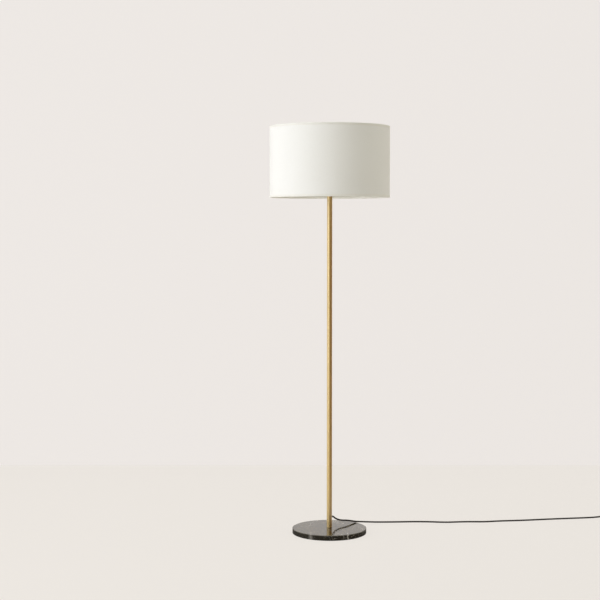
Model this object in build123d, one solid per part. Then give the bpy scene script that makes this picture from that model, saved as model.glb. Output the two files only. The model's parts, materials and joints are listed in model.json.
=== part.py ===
from build123d import *

import os
from math import atan2, cos, degrees, pi, radians, sin, sqrt, tan

# Drum shade floor lamp: a marble disc, a brass pole, a textile drum on a ring
# clamped to the lampholder, and a textile cord with a foot switch and a plug.
# Millimetres, +Z up. The origin is on the floor under the middle of the base.

# Overall
overall_height = 1535.0

# Base: marble disc on a felt pad, bolted to the pole from below
base_diameter = 280.0
base_thickness = 19.0
base_arris = 1.0
felt_thickness = 1.5
felt_inset = 4.0
recess_diameter = 46.0
recess_head_room = 0.7
washer_diameter = 40.0
washer_thickness = 2.5
lock_washer_diameter = 14.6
lock_washer_thickness = 2.0
lock_washer_split = 1.6
lock_washer_turn = 40.0
bolt_diameter = 8.0
bolt_head_width = 13.0
bolt_head_height = 5.3
bolt_reach = 15.0

# Pole: three tube sections screwed together on inside couplers
pole_diameter = 20.0
pole_wall = 1.2
pole_edge_chamfer = 0.25
section_count = 3
gasket_thickness = 0.6
gasket_inset = 0.3
foot_height = 18.0
lead_in = 1.0
coupler_length = 30.0
coupler_wall = 3.6
top_plug_depth = 16.0
collar_thickness = 2.0
nipple_diameter = 10.0
nipple_wall = 1.4
nipple_length = 22.0
nipple_inset = 1.0

# Lampholder for a 27 mm screw cap, with two ring nuts that clamp the shade
cap_radius = 19.0
cap_height = 24.0
cap_wall = 1.8
cap_neck_radius = 8.0
cap_neck_height = 6.0
cap_shoulder_height = 7.0
cap_floor = 3.0
core_height = 13.0
terminal_spacing = 18.0
terminal_screw_diameter = 3.0
terminal_head_diameter = 5.6
terminal_head_height = 2.0
terminal_screw_length = 8.0
screw_end_gap = 0.5
slot_width = 0.7
slot_depth = 0.7
wire_diameter = 1.8
wire_offset = 1.4
wire_bend = 1.0
wire_rise = 1.6
shell_radius = 13.5
shell_wall = 0.4
shell_height = 21.0
shell_hole_radius = 9.0
contact_length = 13.0
contact_width = 5.0
contact_thickness = 0.5
contact_button_radius = 2.5
contact_button_height = 1.2
contact_button_round = 0.6
skirt_radius = 19.4
skirt_wall = 2.2
skirt_height = 29.0
skirt_lip = 2.5
skirt_lip_radius = 14.6
thread_pitch = 2.5
thread_depth = 0.5
thread_count = 9
thread_first = 2.3
thread_mouth = 1.6
thread_root = 0.4
ring_nut_radius = 28.5
ring_nut_height = 6.5
ring_nut_web = 2.0
ring_nut_wall = 2.4
ring_nut_notches = 18
ring_nut_notch_radius = 1.3
skirt_lead = 3.0

# Bulb: frosted globe on a plastic body with a 27 mm screw cap
bulb_length = 110.0
bulb_radius = 30.0
bulb_wall = 1.5
bulb_tip_radius = 4.7
bulb_tip_height = 1.0
bulb_insulator_height = 3.5
bulb_insulator_radius = 12.2
bulb_cap_radius = 13.1
bulb_cap_height = 22.0
bulb_cap_wall = 0.5
bulb_neck_radius = 14.2
bulb_rim_drop = 14.0
bulb_waist_inset = 2.0
led_board_thickness = 1.6
led_count = 8
led_circle_radius = 15.0
led_size = 3.2
led_height = 0.8
driver_width = 17.0
driver_height = 24.0
driver_thickness = 1.6
driver_capacitor_radius = 3.5
driver_capacitor_height = 11.0
driver_capacitor_drop = 2.0

# Shade: textile on a stiff liner between two wire rings
shade_diameter = 450.0
shade_height = 265.0
fabric_thickness = 0.5
liner_thickness = 0.5
trim_thickness = 0.4
trim_height = 8.0
wire_ring_diameter = 3.0
spoke_count = 3
spoke_diameter = 3.2
spoke_shelf = 14.0
spoke_toe = 16.0
spoke_bend = 12.0
spoke_slot_gap = 0.5
spoke_slot_depth = 4.0
first_spoke_angle = 90.0
fitter_recess = 52.0
fitter_outer_radius = 32.0
fitter_inner_radius = 20.5
fitter_thickness = 1.5
weld_depth = 0.8

# Cord and its strain reliefs
cord_diameter = 6.2
cord_floor_gap = 0.1
exit_height = 35.5
exit_turn = 18.0
relief_length = 21.5
relief_flange_radius = 5.4
relief_flange_thickness = 1.6
relief_root_radius = 4.9
relief_tip_radius = 3.9
relief_neck_radius = 4.1
relief_grooves = 5
relief_groove_depth = 0.45
relief_groove_width = 1.1
relief_neck_reach = 0.8
relief_seat_depth = 0.5
inner_cord_rise = 60.0
inner_cord_sweep = 90.0

# Foot switch on the cord
switch_x = 1187.0
switch_y = 295.0
switch_turn = 12.0
switch_radius = 33.0
switch_height = 24.0
switch_wall = 2.0
switch_floor = 1.6
switch_edge_round = 7.0
switch_foot_round = 1.0
switch_parting = 8.0
pad_radius = 4.0
pad_thickness = 1.5
pad_circle_radius = 24.0
pad_count = 4
pad_first_angle = 30.0
button_radius = 12.0
button_rise = 4.0
button_travel = 3.0
button_flange = 1.6
button_flange_thickness = 1.6
button_wall = 2.0
button_dome = 1.5
button_stem_radius = 2.5
stem_root = 0.5
spring_radius = 4.6
spring_wire = 0.8
spring_turns = 5
module_length = 22.0
module_width = 14.0
module_height = 7.0
module_chamfer = 1.0
terminal_width = 5.0
terminal_thickness = 0.8
terminal_height = 5.0
terminal_lift = 1.0
stub_end = 20.0
stub_bend = 17.0
relief_inner_flange = 1.4
clamp_position = 24.5
clamp_length = 5.0
clamp_thickness = 2.0
clamp_screw_spacing = 12.0
clamp_screw_radius = 1.2
clamp_head_radius = 2.1
clamp_head_height = 1.4
clamp_boss_radius = 2.4
clamp_screw_lift = 1.0
case_screw_offset = 26.5
case_screw_radius = 1.4
case_head_radius = 2.6
case_head_height = 1.8
case_boss_radius = 3.2
case_head_recess = 0.3
case_screw_short = 2.0

# Coil of the spare cord, and its tie
coil_x = 1310.0
coil_y = 351.0
coil_inner_radius = 30.0
coil_turn_gap = 0.7
coil_layer_gap = 0.6
coil_layer_half_turns = 3
tie_width = 10.0
tie_thickness = 0.8
tie_clearance = 0.5
tie_under_gap = 0.2

# Plug with two round pins
plug_width = 35.3
plug_thickness = 13.7
plug_length = 36.0
plug_shoulder = 15.0
plug_rear_width = 12.5
plug_rear_thickness = 11.0
plug_relief_length = 24.0
plug_relief_root = 5.0
plug_relief_tip = 4.0
plug_side_flat = 0.6
plug_front_chamfer = 0.8
plug_shoulder_step = 1.0
plug_relief_root_depth = 0.5
pin_diameter = 4.0
pin_length = 19.0
pin_spacing = 18.6
pin_tip_spacing = 17.5
pin_depth = 8.0
sleeve_length = 10.0
sleeve_diameter = 3.6
pin_core_diameter = 2.6
pin_tip_round = 1.4
pin_bore_run = 2.0
tail_run = 62.0
fuse_depth = 0.2
cut_run = 1.0

# Clearances
press_gap = 0.05
thread_gap = 0.05
hole_gap = 0.3
bore_gap = 0.1
glue_gap = 0.02
turning_gap = 0.1
sliding_gap = 0.4
contact_gap = 0.3

# Levels worked out from the sizes above
base_z = felt_thickness
base_top = base_z + base_thickness
pole_z = base_top + gasket_thickness
shade_z = overall_height - shade_height
fitter_z = shade_z + fitter_recess
upper_nut_z = fitter_z + fitter_thickness / 2 + turning_gap
lower_nut_z = fitter_z - fitter_thickness / 2 - turning_gap - ring_nut_height
skirt_z = upper_nut_z + ring_nut_height + skirt_lead - skirt_height
cap_z = skirt_z - cap_height
collar_z = cap_z - collar_thickness
section_length = (collar_z - pole_z) / section_count
cap_floor_z = cap_z + cap_neck_height + cap_floor
cap_shoulder_z = cap_z + cap_neck_height + cap_shoulder_height
core_z = cap_shoulder_z + cap_wall / 2
core_top = core_z + core_height
bulb_z = core_top + contact_thickness + contact_button_height + contact_gap
bulb_cap_z = bulb_z + bulb_tip_height + bulb_insulator_height
bulb_neck_z = bulb_cap_z + bulb_cap_height
globe_z = bulb_z + bulb_length - bulb_radius
bulb_rim_z = globe_z - bulb_rim_drop
exit_z = base_top + exit_height
recess_top = base_z + washer_thickness + lock_washer_thickness + bolt_head_height + recess_head_room

# Radii worked out from the sizes above
base_radius = base_diameter / 2
pole_radius = pole_diameter / 2
bore_radius = pole_radius - pole_wall
cord_radius = cord_diameter / 2
shade_radius = shade_diameter / 2
fabric_radius = shade_radius - trim_thickness - glue_gap
liner_radius = fabric_radius - fabric_thickness - glue_gap
liner_bore = liner_radius - liner_thickness
wire_ring_radius = liner_bore - glue_gap - wire_ring_diameter / 2
trim_bore = wire_ring_radius - wire_ring_diameter / 2 - glue_gap - trim_thickness
relief_tip = pole_radius + relief_length
cord_z = cord_radius + cord_floor_gap
switch_z = pad_thickness
gland_z = switch_parting
stub_tip = switch_radius + relief_length
clamp_z = gland_z + cord_radius
module_z = switch_z + switch_floor
button_flange_z = switch_height - switch_wall - contact_gap - button_flange_thickness
coil_pitch = (cord_diameter + coil_turn_gap) / 2
coil_layer = cord_diameter + coil_layer_gap
coil_low = cord_floor_gap + tie_thickness + tie_under_gap + cord_radius
plug_z = plug_thickness / 2 + cord_floor_gap
pin_angle = degrees(atan2((pin_spacing - pin_tip_spacing) / 2, pin_length))

ALL_LOW = (Align.CENTER, Align.CENTER, Align.MIN)


# Helpers
def disc(radius, height, z=0.0):
    """Upright cylinder whose lower face is at z."""
    return Pos(0, 0, z) * Cylinder(radius, height, align=ALL_LOW)


def ring(outer, inner, height, z=0.0):
    """Upright tube whose lower face is at z."""
    return disc(outer, height, z) - disc(inner, height, z)


def turned(*outline):
    """Solid turned about Z from a closed outline of (radius, height) points."""
    edges = Polyline(*[(radius, 0, z) for radius, z in outline], close=True)
    return revolve(make_face(edges), Axis.Z)


def around(count, first_angle, part):
    """List of copies of a part, evenly spaced about Z."""
    return [Rot(0, 0, first_angle + index * 360 / count) * part for index in range(count)]


def group(*parts):
    """One node of several separate solids."""
    return Compound(children=[solid for part in parts for solid in part.solids()])


def corner_radii(points):
    """Largest easy bend at each corner of a route: 0.45 of its shorter run."""
    radii = []
    for before, corner, after in zip(points, points[1:], points[2:]):
        run_in = Vector(*corner) - Vector(*before)
        run_out = Vector(*after) - Vector(*corner)
        half_turn = radians(run_in.get_angle(run_out)) / 2
        radii.append(0.45 * min(run_in.length, run_out.length) / tan(half_turn))
    return radii


def tube_along(path, radius):
    """Round bar swept along a wire, square to both of its ends."""
    start = Plane(origin=path @ 0, z_dir=path % 0)
    return sweep(start * Circle(radius), path=path)


def routed(name, points, radius, radii=None):
    """Bar along straight runs joined by arcs, with its bends and volume printed."""
    radii = radii or corner_radii(points)
    path = FilletPolyline(*points, radius=radii)
    bar = tube_along(path, radius)
    share = bar.volume / (pi * radius**2 * path.length)
    print(f"{name}: length {path.length:.0f}, volume against section times length {share:.4f}")
    print(f"{name}: bend radii", [round(bend) for bend in radii])
    return bar, path.length


def biarc(start, start_way, end, end_way):
    """Two arcs that meet smoothly between two points with given directions."""
    start, end = Vector(*start), Vector(*end)
    start_way, end_way = Vector(*start_way).normalized(), Vector(*end_way).normalized()
    gap = end - start
    ways = start_way + end_way
    a = 2 * (1 - start_way.dot(end_way))
    b = 2 * gap.dot(ways)
    c = -gap.dot(gap)
    reach = (-b + sqrt(b * b - 4 * a * c)) / (2 * a)
    meet = ((start + start_way * reach) + (end - end_way * reach)) * 0.5
    meet_way = (end - end_way * reach) - (start + start_way * reach)
    first = Edge.make_tangent_arc(start, start_way, meet)
    second = Edge.make_tangent_arc(meet, meet_way, end)
    return [first, second]


def least_gap(edges, diameter, apart):
    """Least gap between stretches of a bar further apart along it than a given length."""
    samples = []
    travelled = 0.0
    for edge in edges:
        steps = max(4, int(edge.length / 2))
        for step in range(steps):
            samples.append((travelled + edge.length * step / steps, edge @ (step / steps)))
        travelled += edge.length
    gaps = [
        (place_b - place_a).length
        for index, (at_a, place_a) in enumerate(samples)
        for at_b, place_b in samples[index + 1 :]
        if at_b - at_a > apart
    ]
    return min(gaps) - diameter


# Base
def base_felt():
    return disc(base_radius - felt_inset, felt_thickness)


def marble_base():
    slab = disc(base_radius, base_thickness, base_z)
    slab = fillet(slab.edges().filter_by(GeomType.CIRCLE), base_arris)
    recess = disc(recess_diameter / 2, recess_top - base_z, base_z)
    return slab - recess - disc(bolt_diameter / 2 + hole_gap, base_thickness, base_z)


def base_washer():
    z = recess_top - washer_thickness
    return ring(washer_diameter / 2, bolt_diameter / 2 + hole_gap, washer_thickness, z)


def base_lock_washer():
    z = recess_top - washer_thickness - lock_washer_thickness
    body = ring(lock_washer_diameter / 2, bolt_diameter / 2 + bore_gap, lock_washer_thickness, z)
    aligned = (Align.MIN, Align.CENTER, Align.MIN)
    slot = Box(lock_washer_diameter, lock_washer_split, lock_washer_thickness, align=aligned)
    return body - Pos(0, 0, z) * Rot(0, 0, lock_washer_turn) * slot


def base_bolt():
    head_top = recess_top - washer_thickness - lock_washer_thickness
    hexagon = RegularPolygon(radius=bolt_head_width / 2, side_count=6, major_radius=False)
    head = Pos(0, 0, head_top - bolt_head_height) * extrude(hexagon, bolt_head_height)
    return head + disc(bolt_diameter / 2, pole_z + bolt_reach - head_top, head_top)


# Pole
def pole_gasket():
    return ring(pole_radius - gasket_inset, bolt_diameter / 2 + hole_gap, gasket_thickness, base_top)


def pole_foot():
    plug = ring(bore_radius - press_gap, bolt_diameter / 2 + thread_gap, foot_height, pole_z)
    top_rim = plug.edges().filter_by(GeomType.CIRCLE).group_by(Axis.Z)[-1].sort_by(SortBy.RADIUS)[-1]
    return chamfer(top_rim, lead_in)


def exit_plane():
    """Plane on the pole's axis that looks out along the cord exit."""
    way = (sin(radians(exit_turn)), cos(radians(exit_turn)), 0)
    return Plane(origin=(0, 0, exit_z), x_dir=(0, 0, 1), z_dir=way)


def pole_section(index):
    z = pole_z + index * section_length
    tube = ring(pole_radius, bore_radius, section_length, z)
    rims = tube.edges().filter_by(GeomType.CIRCLE)
    tube = chamfer([rim for rim in rims if rim.radius > bore_radius], pole_edge_chamfer)
    if index == 0:
        tube -= exit_plane() * disc(relief_neck_radius + press_gap, pole_diameter)
    return tube


def pole_couplers():
    outer = bore_radius - press_gap
    coupler = ring(outer, outer - coupler_wall, coupler_length, -coupler_length / 2)
    joints = [pole_z + index * section_length for index in range(1, section_count)]
    return group(*[Pos(0, 0, z) * coupler for z in joints])


def pole_top_plug():
    body = disc(bore_radius - press_gap, top_plug_depth, collar_z - top_plug_depth)
    collar = disc(pole_radius, collar_thickness, collar_z)
    collar = chamfer(collar.edges().filter_by(GeomType.CIRCLE), pole_edge_chamfer)
    depth = top_plug_depth + collar_thickness
    return body + collar - disc(nipple_diameter / 2 + thread_gap, depth, collar_z - top_plug_depth)


def nipple():
    top = cap_floor_z - nipple_inset
    return ring(nipple_diameter / 2, nipple_diameter / 2 - nipple_wall, nipple_length, top - nipple_length)


# Strain reliefs, made on Z and then turned to face out of a round wall
def relief_cuts(start, length, root, tip):
    """Shallow rings round a tapered relief, so that it bends evenly."""
    pitch = length / (relief_grooves + 1)
    cuts = []
    for index in range(1, relief_grooves + 1):
        share = index / (relief_grooves + 1)
        radius = root + (tip - root) * share
        middle = start + pitch * index
        low = middle - relief_groove_width / 2
        cuts.append(ring(radius + cut_run, radius - relief_groove_depth, relief_groove_width, low))
    return cuts


def strain_relief(wall_outer, wall_inner, inner_flange=0.0):
    """Tapered relief whose flange hugs an upright round wall, axis along Z."""
    bore = cord_radius + bore_gap
    seat = sqrt(wall_outer**2 - relief_flange_radius**2) - relief_seat_depth
    flange_top = wall_outer + relief_flange_thickness
    tip = wall_outer + relief_length
    outside = turned(
        (bore, seat),
        (relief_flange_radius, seat),
        (relief_flange_radius, flange_top),
        (relief_root_radius, flange_top),
        (relief_tip_radius, tip),
        (bore, tip),
    )
    for cut in relief_cuts(flange_top, tip - flange_top, relief_root_radius, relief_tip_radius):
        outside -= cut
    wall = Rot(0, 90, 0) * Cylinder(wall_outer + glue_gap, 4 * relief_flange_radius)
    neck_low = wall_inner - relief_neck_reach - inner_flange
    neck = ring(relief_neck_radius, bore, flange_top - neck_low, neck_low)
    relief = outside - wall + neck
    if inner_flange:
        relief += ring(relief_root_radius, bore, inner_flange, neck_low)
    return relief


def cord_relief():
    return exit_plane() * strain_relief(pole_radius, bore_radius)


# Cord held inside the pole, from the relief up to the lampholder
def on_exit(out, z):
    """Point at a distance out from the pole's axis, on the exit's side, at a height."""
    return (out * sin(radians(exit_turn)), out * cos(radians(exit_turn)), z)


def pole_cord():
    side = bore_radius - cord_radius - contact_gap
    points = [
        on_exit(relief_tip, exit_z),
        on_exit(-side, exit_z),
        on_exit(-side, exit_z + inner_cord_rise),
        on_exit(0, exit_z + inner_cord_rise + inner_cord_sweep),
        on_exit(0, cap_floor_z),
    ]
    radii = corner_radii(points)
    radii[0] = side + bore_radius - lead_in
    return routed("pole_cord", points, cord_radius, radii)[0]


# Lampholder
def holder_cap():
    hole = nipple_diameter / 2 + thread_gap
    inner = cap_radius - cap_wall
    return turned(
        (hole, cap_z),
        (cap_neck_radius, cap_z),
        (cap_neck_radius, cap_z + cap_neck_height),
        (cap_radius, cap_shoulder_z),
        (cap_radius, skirt_z),
        (inner, skirt_z),
        (inner, core_z),
        (cap_neck_radius + cap_wall, cap_floor_z),
        (hole, cap_floor_z),
    )


def driver_slot(head_diameter, z):
    """Cut across a screw head whose face is at a height."""
    return Pos(0, 0, z) * Box(head_diameter, slot_width, 2 * slot_depth)


def terminal_places():
    return [Pos(side * terminal_spacing / 2, 0, 0) for side in (-1, 1)]


def holder_core():
    core = disc(cap_radius - cap_wall - contact_gap, core_height, core_z)
    for place in terminal_places():
        core -= place * disc(terminal_screw_diameter / 2 + thread_gap, terminal_screw_length, core_z)
    return core


def holder_terminal_screws():
    head_z = core_z - terminal_head_height
    head = disc(terminal_head_diameter / 2, terminal_head_height, head_z)
    head -= driver_slot(terminal_head_diameter, head_z)
    screw = head + disc(terminal_screw_diameter / 2, terminal_screw_length - screw_end_gap, core_z)
    return group(*[place * screw for place in terminal_places()])


def holder_wires():
    wire_radius = wire_diameter / 2
    high = core_z - terminal_head_height / 2
    out = (terminal_spacing - terminal_head_diameter) / 2 - contact_gap
    wires = []
    for side in (-1, 1):
        start = (side * wire_offset, 0, cap_floor_z)
        points = [start, (side * wire_offset, 0, cap_floor_z + wire_rise), (side * out, 0, high)]
        wires.append(tube_along(FilletPolyline(*points, radius=wire_bend), wire_radius))
    return group(*wires)


def holder_contact():
    strip = Box(contact_length, contact_width, contact_thickness, align=ALL_LOW)
    button = disc(contact_button_radius, contact_button_height, contact_thickness)
    button = fillet(button.edges().filter_by(GeomType.CIRCLE).sort_by(Axis.Z)[-1], contact_button_round)
    return Pos(0, 0, core_top) * (strip + button)


def holder_shell():
    outer = shell_radius + shell_wall
    return turned(
        (shell_hole_radius, core_top),
        (outer, core_top),
        (outer, core_top + shell_height),
        (shell_radius, core_top + shell_height),
        (shell_radius, core_top + shell_wall),
        (shell_hole_radius, core_top + shell_wall),
    )


def holder_skirt():
    top = skirt_z + skirt_height
    body = turned(
        (skirt_radius - skirt_wall, skirt_z),
        (skirt_radius, skirt_z),
        (skirt_radius, top),
        (skirt_lip_radius, top),
        (skirt_lip_radius, top - skirt_lip),
        (skirt_radius - skirt_wall, top - skirt_lip),
    )
    for index in range(thread_count):
        z = top - thread_first - index * thread_pitch
        body -= turned(
            (skirt_radius + cut_run, z + thread_mouth / 2),
            (skirt_radius + cut_run, z - thread_mouth / 2),
            (skirt_radius - thread_depth, z - thread_root / 2),
            (skirt_radius - thread_depth, z + thread_root / 2),
        )
    return body


def ring_nut(face_z, web_up):
    """Clamping nut: a flat web at its face towards the shade and a gripping wall."""
    low = face_z if web_up else face_z - ring_nut_height
    web_low = face_z if web_up else face_z - ring_nut_web
    bore = skirt_radius + bore_gap
    nut = ring(ring_nut_radius, bore, ring_nut_web, web_low)
    nut += ring(bore + ring_nut_wall, bore, ring_nut_height, low)
    notch = Pos(ring_nut_radius, 0, 0) * disc(ring_nut_notch_radius, ring_nut_web, web_low)
    for cut in around(ring_nut_notches, 0, notch):
        nut -= cut
    return nut


# Bulb
def bulb_contact():
    return disc(bulb_tip_radius, bulb_tip_height, bulb_z)


def bulb_insulator():
    z = bulb_z + bulb_tip_height
    return Pos(0, 0, z) * Cone(bulb_tip_radius, bulb_insulator_radius, bulb_insulator_height, align=ALL_LOW)


def bulb_cap():
    return ring(bulb_cap_radius, bulb_cap_radius - bulb_cap_wall, bulb_cap_height, bulb_cap_z)


def rim_radius(radius):
    """Radius of the globe of a given size where it meets the bulb's body."""
    return sqrt(radius**2 - bulb_rim_drop**2)


def bulb_body():
    step_z = bulb_neck_z + bulb_wall
    middle_z = (bulb_neck_z + bulb_rim_z) / 2
    rim = rim_radius(bulb_radius)
    waist = (bulb_neck_radius + rim) / 2 - bulb_waist_inset
    step_radius = bulb_cap_radius - bulb_cap_wall - bulb_wall
    outer = ThreePointArc((bulb_neck_radius, 0, bulb_neck_z), (waist, 0, middle_z), (rim, 0, bulb_rim_z))
    rim_edge = Line((rim, 0, bulb_rim_z), (rim - bulb_wall, 0, bulb_rim_z))
    inner = ThreePointArc(
        (rim - bulb_wall, 0, bulb_rim_z),
        (waist - bulb_wall, 0, middle_z),
        (bulb_neck_radius - bulb_wall, 0, step_z),
    )
    step = Polyline(
        (bulb_neck_radius - bulb_wall, 0, step_z),
        (step_radius, 0, step_z),
        (step_radius, 0, bulb_neck_z),
        (bulb_neck_radius, 0, bulb_neck_z),
    )
    return revolve(make_face([outer, rim_edge, inner] + step.edges()), Axis.Z)


def bulb_globe():
    below = disc(2 * bulb_radius, bulb_radius, bulb_rim_z - bulb_radius)
    hollow = Sphere(bulb_radius) - Sphere(bulb_radius - bulb_wall)
    return Pos(0, 0, globe_z) * hollow - below


def led_board():
    board = disc(rim_radius(bulb_radius - bulb_wall) - bore_gap, led_board_thickness, bulb_rim_z)
    led = Box(led_size, led_size, led_height, align=ALL_LOW)
    led = Pos(led_circle_radius, 0, bulb_rim_z + led_board_thickness) * led
    for copy in around(led_count, 0, led):
        board += copy
    return board


def bulb_driver():
    board = Box(driver_width, driver_thickness, driver_height, align=ALL_LOW)
    can_z = driver_height - driver_capacitor_height - driver_capacitor_drop
    can_y = driver_thickness / 2 + driver_capacitor_radius - fuse_depth
    can = Pos(0, can_y, 0) * disc(driver_capacitor_radius, driver_capacitor_height, can_z)
    return Pos(0, 0, bulb_rim_z - driver_height) * (board + can)


# Shade
def shade_wall(outer, thickness):
    """Drum wall of the shade between the folds of its two hems."""
    return ring(outer, outer - thickness, shade_height - 2 * trim_thickness, shade_z + trim_thickness)


def wire_level(top):
    """Height of the middle of a rim wire."""
    inset = trim_thickness + glue_gap + wire_ring_diameter / 2
    return overall_height - inset if top else shade_z + inset


def shade_wire(top):
    return Pos(0, 0, wire_level(top)) * Torus(wire_ring_radius, wire_ring_diameter / 2)


def shade_trim(top):
    """Hem tape folded over the rim and its wire, open where the spokes leave the wire."""
    way = -1 if top else 1
    edge = overall_height if top else shade_z
    fold = edge + way * (trim_thickness - glue_gap)
    hem = edge + way * trim_height
    tape = turned(
        (shade_radius, edge),
        (shade_radius, hem),
        (shade_radius - trim_thickness, hem),
        (shade_radius - trim_thickness, fold),
        (trim_bore + trim_thickness, fold),
        (trim_bore + trim_thickness, hem),
        (trim_bore, hem),
        (trim_bore, edge),
    )
    if not top:
        slot_size = spoke_diameter + 2 * spoke_slot_gap
        slot = Pos(trim_bore, 0, wire_level(False)) * Box(spoke_slot_depth, slot_size, slot_size)
        for cut in around(spoke_count, first_spoke_angle, slot):
            tape -= cut
    return tape


def shade_spokes():
    start = fitter_outer_radius - weld_depth
    wire_z = wire_level(False)
    end = wire_ring_radius - wire_ring_diameter / 2 + weld_depth
    points = [
        (start, 0, fitter_z),
        (fitter_outer_radius + spoke_shelf, 0, fitter_z),
        (end - spoke_toe, 0, wire_z),
        (end, 0, wire_z),
    ]
    spoke = tube_along(FilletPolyline(*points, radius=spoke_bend), spoke_diameter / 2)
    return group(*around(spoke_count, first_spoke_angle, spoke))


def shade_fitter():
    return ring(fitter_outer_radius, fitter_inner_radius, fitter_thickness, fitter_z - fitter_thickness / 2)


# Free cord from the relief to the foot switch: points chosen from how it lies
def switch_place():
    return Pos(switch_x, switch_y, 0) * Rot(0, 0, switch_turn)


def on_switch(along, across, z):
    """Point in the lamp's frame from one in the foot switch's frame."""
    turn = radians(switch_turn)
    x = switch_x + along * cos(turn) - across * sin(turn)
    y = switch_y + along * sin(turn) + across * cos(turn)
    return (x, y, z)


def cord():
    start = [on_exit(relief_tip, exit_z), on_exit(relief_tip + 10, exit_z)]
    hanging = [
        (17, 47.4, 52),
        (23.6, 52.2, 45.4),
        (34.8, 55, 39.4),
        (51, 60.8, 36),
        (69, 72.5, 32.8),
        (87, 88, 29.6),
        (105, 104, 25.6),
        (122, 119.5, 18.5),
        (142, 137.5, 9.5),
        (167, 161, cord_z),
    ]
    lying = [
        (198, 179),
        (262, 181),
        (330, 187),
        (395, 185.5),
        (460, 173.5),
        (520, 184),
        (562, 186),
        (615, 184),
        (675, 200),
        (760, 209.5),
        (845, 228),
        (930, 244),
        (1010, 257),
        (1072, 270),
    ]
    on_floor = [(x, y, cord_z) for x, y in lying]
    end = [on_switch(-stub_tip - 17, 0, gland_z), on_switch(-stub_tip, 0, gland_z)]
    return routed("cord", start + hanging + on_floor + end, cord_radius)


# Foot switch, in its own frame: X along the cord, its middle at the origin
def switch_pads():
    pad = Pos(pad_circle_radius, 0, 0) * disc(pad_radius, pad_thickness)
    pads = around(pad_count, pad_first_angle, pad)
    return group(*[switch_place() * pad for pad in pads])


def gland_hole():
    hole = Cylinder(relief_neck_radius + press_gap, 3 * switch_radius)
    return Pos(0, 0, gland_z) * Rot(0, 90, 0) * hole


def case_places():
    return [Pos(0, side * case_screw_offset, 0) for side in (-1, 1)]


def clamp_places():
    return [Pos(side * clamp_position, 0, 0) for side in (-1, 1)]


def clamp_screw_places():
    sides = [Pos(0, side * clamp_screw_spacing / 2, 0) for side in (-1, 1)]
    return [clamp * side for clamp in clamp_places() for side in sides]


def switch_base():
    floor_top = switch_z + switch_floor
    boss_height = clamp_z - floor_top
    outside = disc(switch_radius, switch_parting - switch_z, switch_z)
    outside = fillet(outside.edges().filter_by(GeomType.CIRCLE).sort_by(Axis.Z)[0], switch_foot_round)
    body = outside - disc(switch_radius - switch_wall, switch_parting - floor_top, floor_top)
    for place in clamp_screw_places():
        body += place * disc(clamp_boss_radius, boss_height, floor_top)
        body -= place * disc(clamp_screw_radius + thread_gap, boss_height, floor_top)
    rib_height = gland_z - cord_radius - bore_gap - floor_top
    for place in clamp_places():
        body += place * Pos(0, 0, floor_top) * Box(clamp_length, 2 * cord_radius, rib_height, align=ALL_LOW)
    for place in case_places():
        body += place * disc(case_boss_radius, switch_parting - switch_z, switch_z)
        body -= place * disc(case_screw_radius + hole_gap, switch_parting - switch_z, switch_z)
        body -= place * disc(case_head_radius + hole_gap, case_head_height + case_head_recess, switch_z)
    body -= gland_hole()
    return switch_place() * body


def switch_cover():
    height = switch_height - switch_parting
    inner = switch_radius - switch_wall
    outside = disc(switch_radius, height, switch_parting)
    outside = fillet(outside.edges().filter_by(GeomType.CIRCLE).sort_by(Axis.Z)[-1], switch_edge_round)
    cavity = disc(inner, height - switch_wall, switch_parting)
    round_in = switch_edge_round - switch_wall
    cavity = fillet(cavity.edges().filter_by(GeomType.CIRCLE).sort_by(Axis.Z)[-1], round_in)
    body = outside - cavity
    for place in case_places():
        boss = place * disc(case_boss_radius, height - switch_wall / 2, switch_parting)
        body += boss & outside
        body -= place * disc(case_screw_radius + thread_gap, height - switch_edge_round, switch_parting)
    body -= disc(button_radius + sliding_gap, height, switch_parting)
    body -= gland_hole()
    return switch_place() * body


def switch_screws():
    head_z = switch_z + case_head_recess
    top = switch_height - switch_edge_round - case_screw_short
    screw = disc(case_head_radius, case_head_height, head_z)
    screw += disc(case_screw_radius, top - head_z, head_z)
    screw -= driver_slot(2 * case_head_radius, head_z)
    return group(*[switch_place() * place * screw for place in case_places()])


def switch_reliefs():
    relief = strain_relief(switch_radius, switch_radius - switch_wall, inner_flange=relief_inner_flange)
    out = Pos(0, 0, gland_z) * Rot(0, 90, 0) * relief
    back = Rot(0, 0, 180) * out
    return group(switch_place() * out, switch_place() * back)


def switch_cord_ends():
    bar = disc(cord_radius, stub_tip - stub_end, stub_end)
    out = Pos(0, 0, gland_z) * Rot(0, 90, 0) * bar
    back = Rot(0, 0, 180) * out
    return group(switch_place() * out, switch_place() * back)


def switch_clamps():
    width = clamp_screw_spacing + 2 * clamp_boss_radius
    bar = Pos(0, 0, clamp_z) * Box(clamp_length, width, clamp_thickness, align=ALL_LOW)
    hole = disc(clamp_screw_radius + bore_gap, clamp_thickness, clamp_z)
    for side in (-1, 1):
        bar -= Pos(0, side * clamp_screw_spacing / 2, 0) * hole
    return group(*[switch_place() * place * bar for place in clamp_places()])


def switch_clamp_screws():
    top = clamp_z + clamp_thickness
    low = module_z + clamp_screw_lift
    screw = disc(clamp_head_radius, clamp_head_height, top)
    screw += disc(clamp_screw_radius, top - low, low)
    screw -= driver_slot(2 * clamp_head_radius, top + clamp_head_height)
    return group(*[switch_place() * place * screw for place in clamp_screw_places()])


def switch_module():
    body = Box(module_length, module_width, module_height, align=ALL_LOW)
    body = chamfer(body.edges().filter_by(Axis.Z), module_chamfer)
    return switch_place() * Pos(0, 0, module_z) * body


def switch_terminals():
    blade = Box(terminal_thickness, terminal_width, terminal_height, align=ALL_LOW)
    out = module_length / 2 + terminal_thickness / 2
    blade = Pos(0, 0, module_z + terminal_lift) * blade
    return group(*[switch_place() * Pos(side * out, 0, 0) * blade for side in (-1, 1)])


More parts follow.
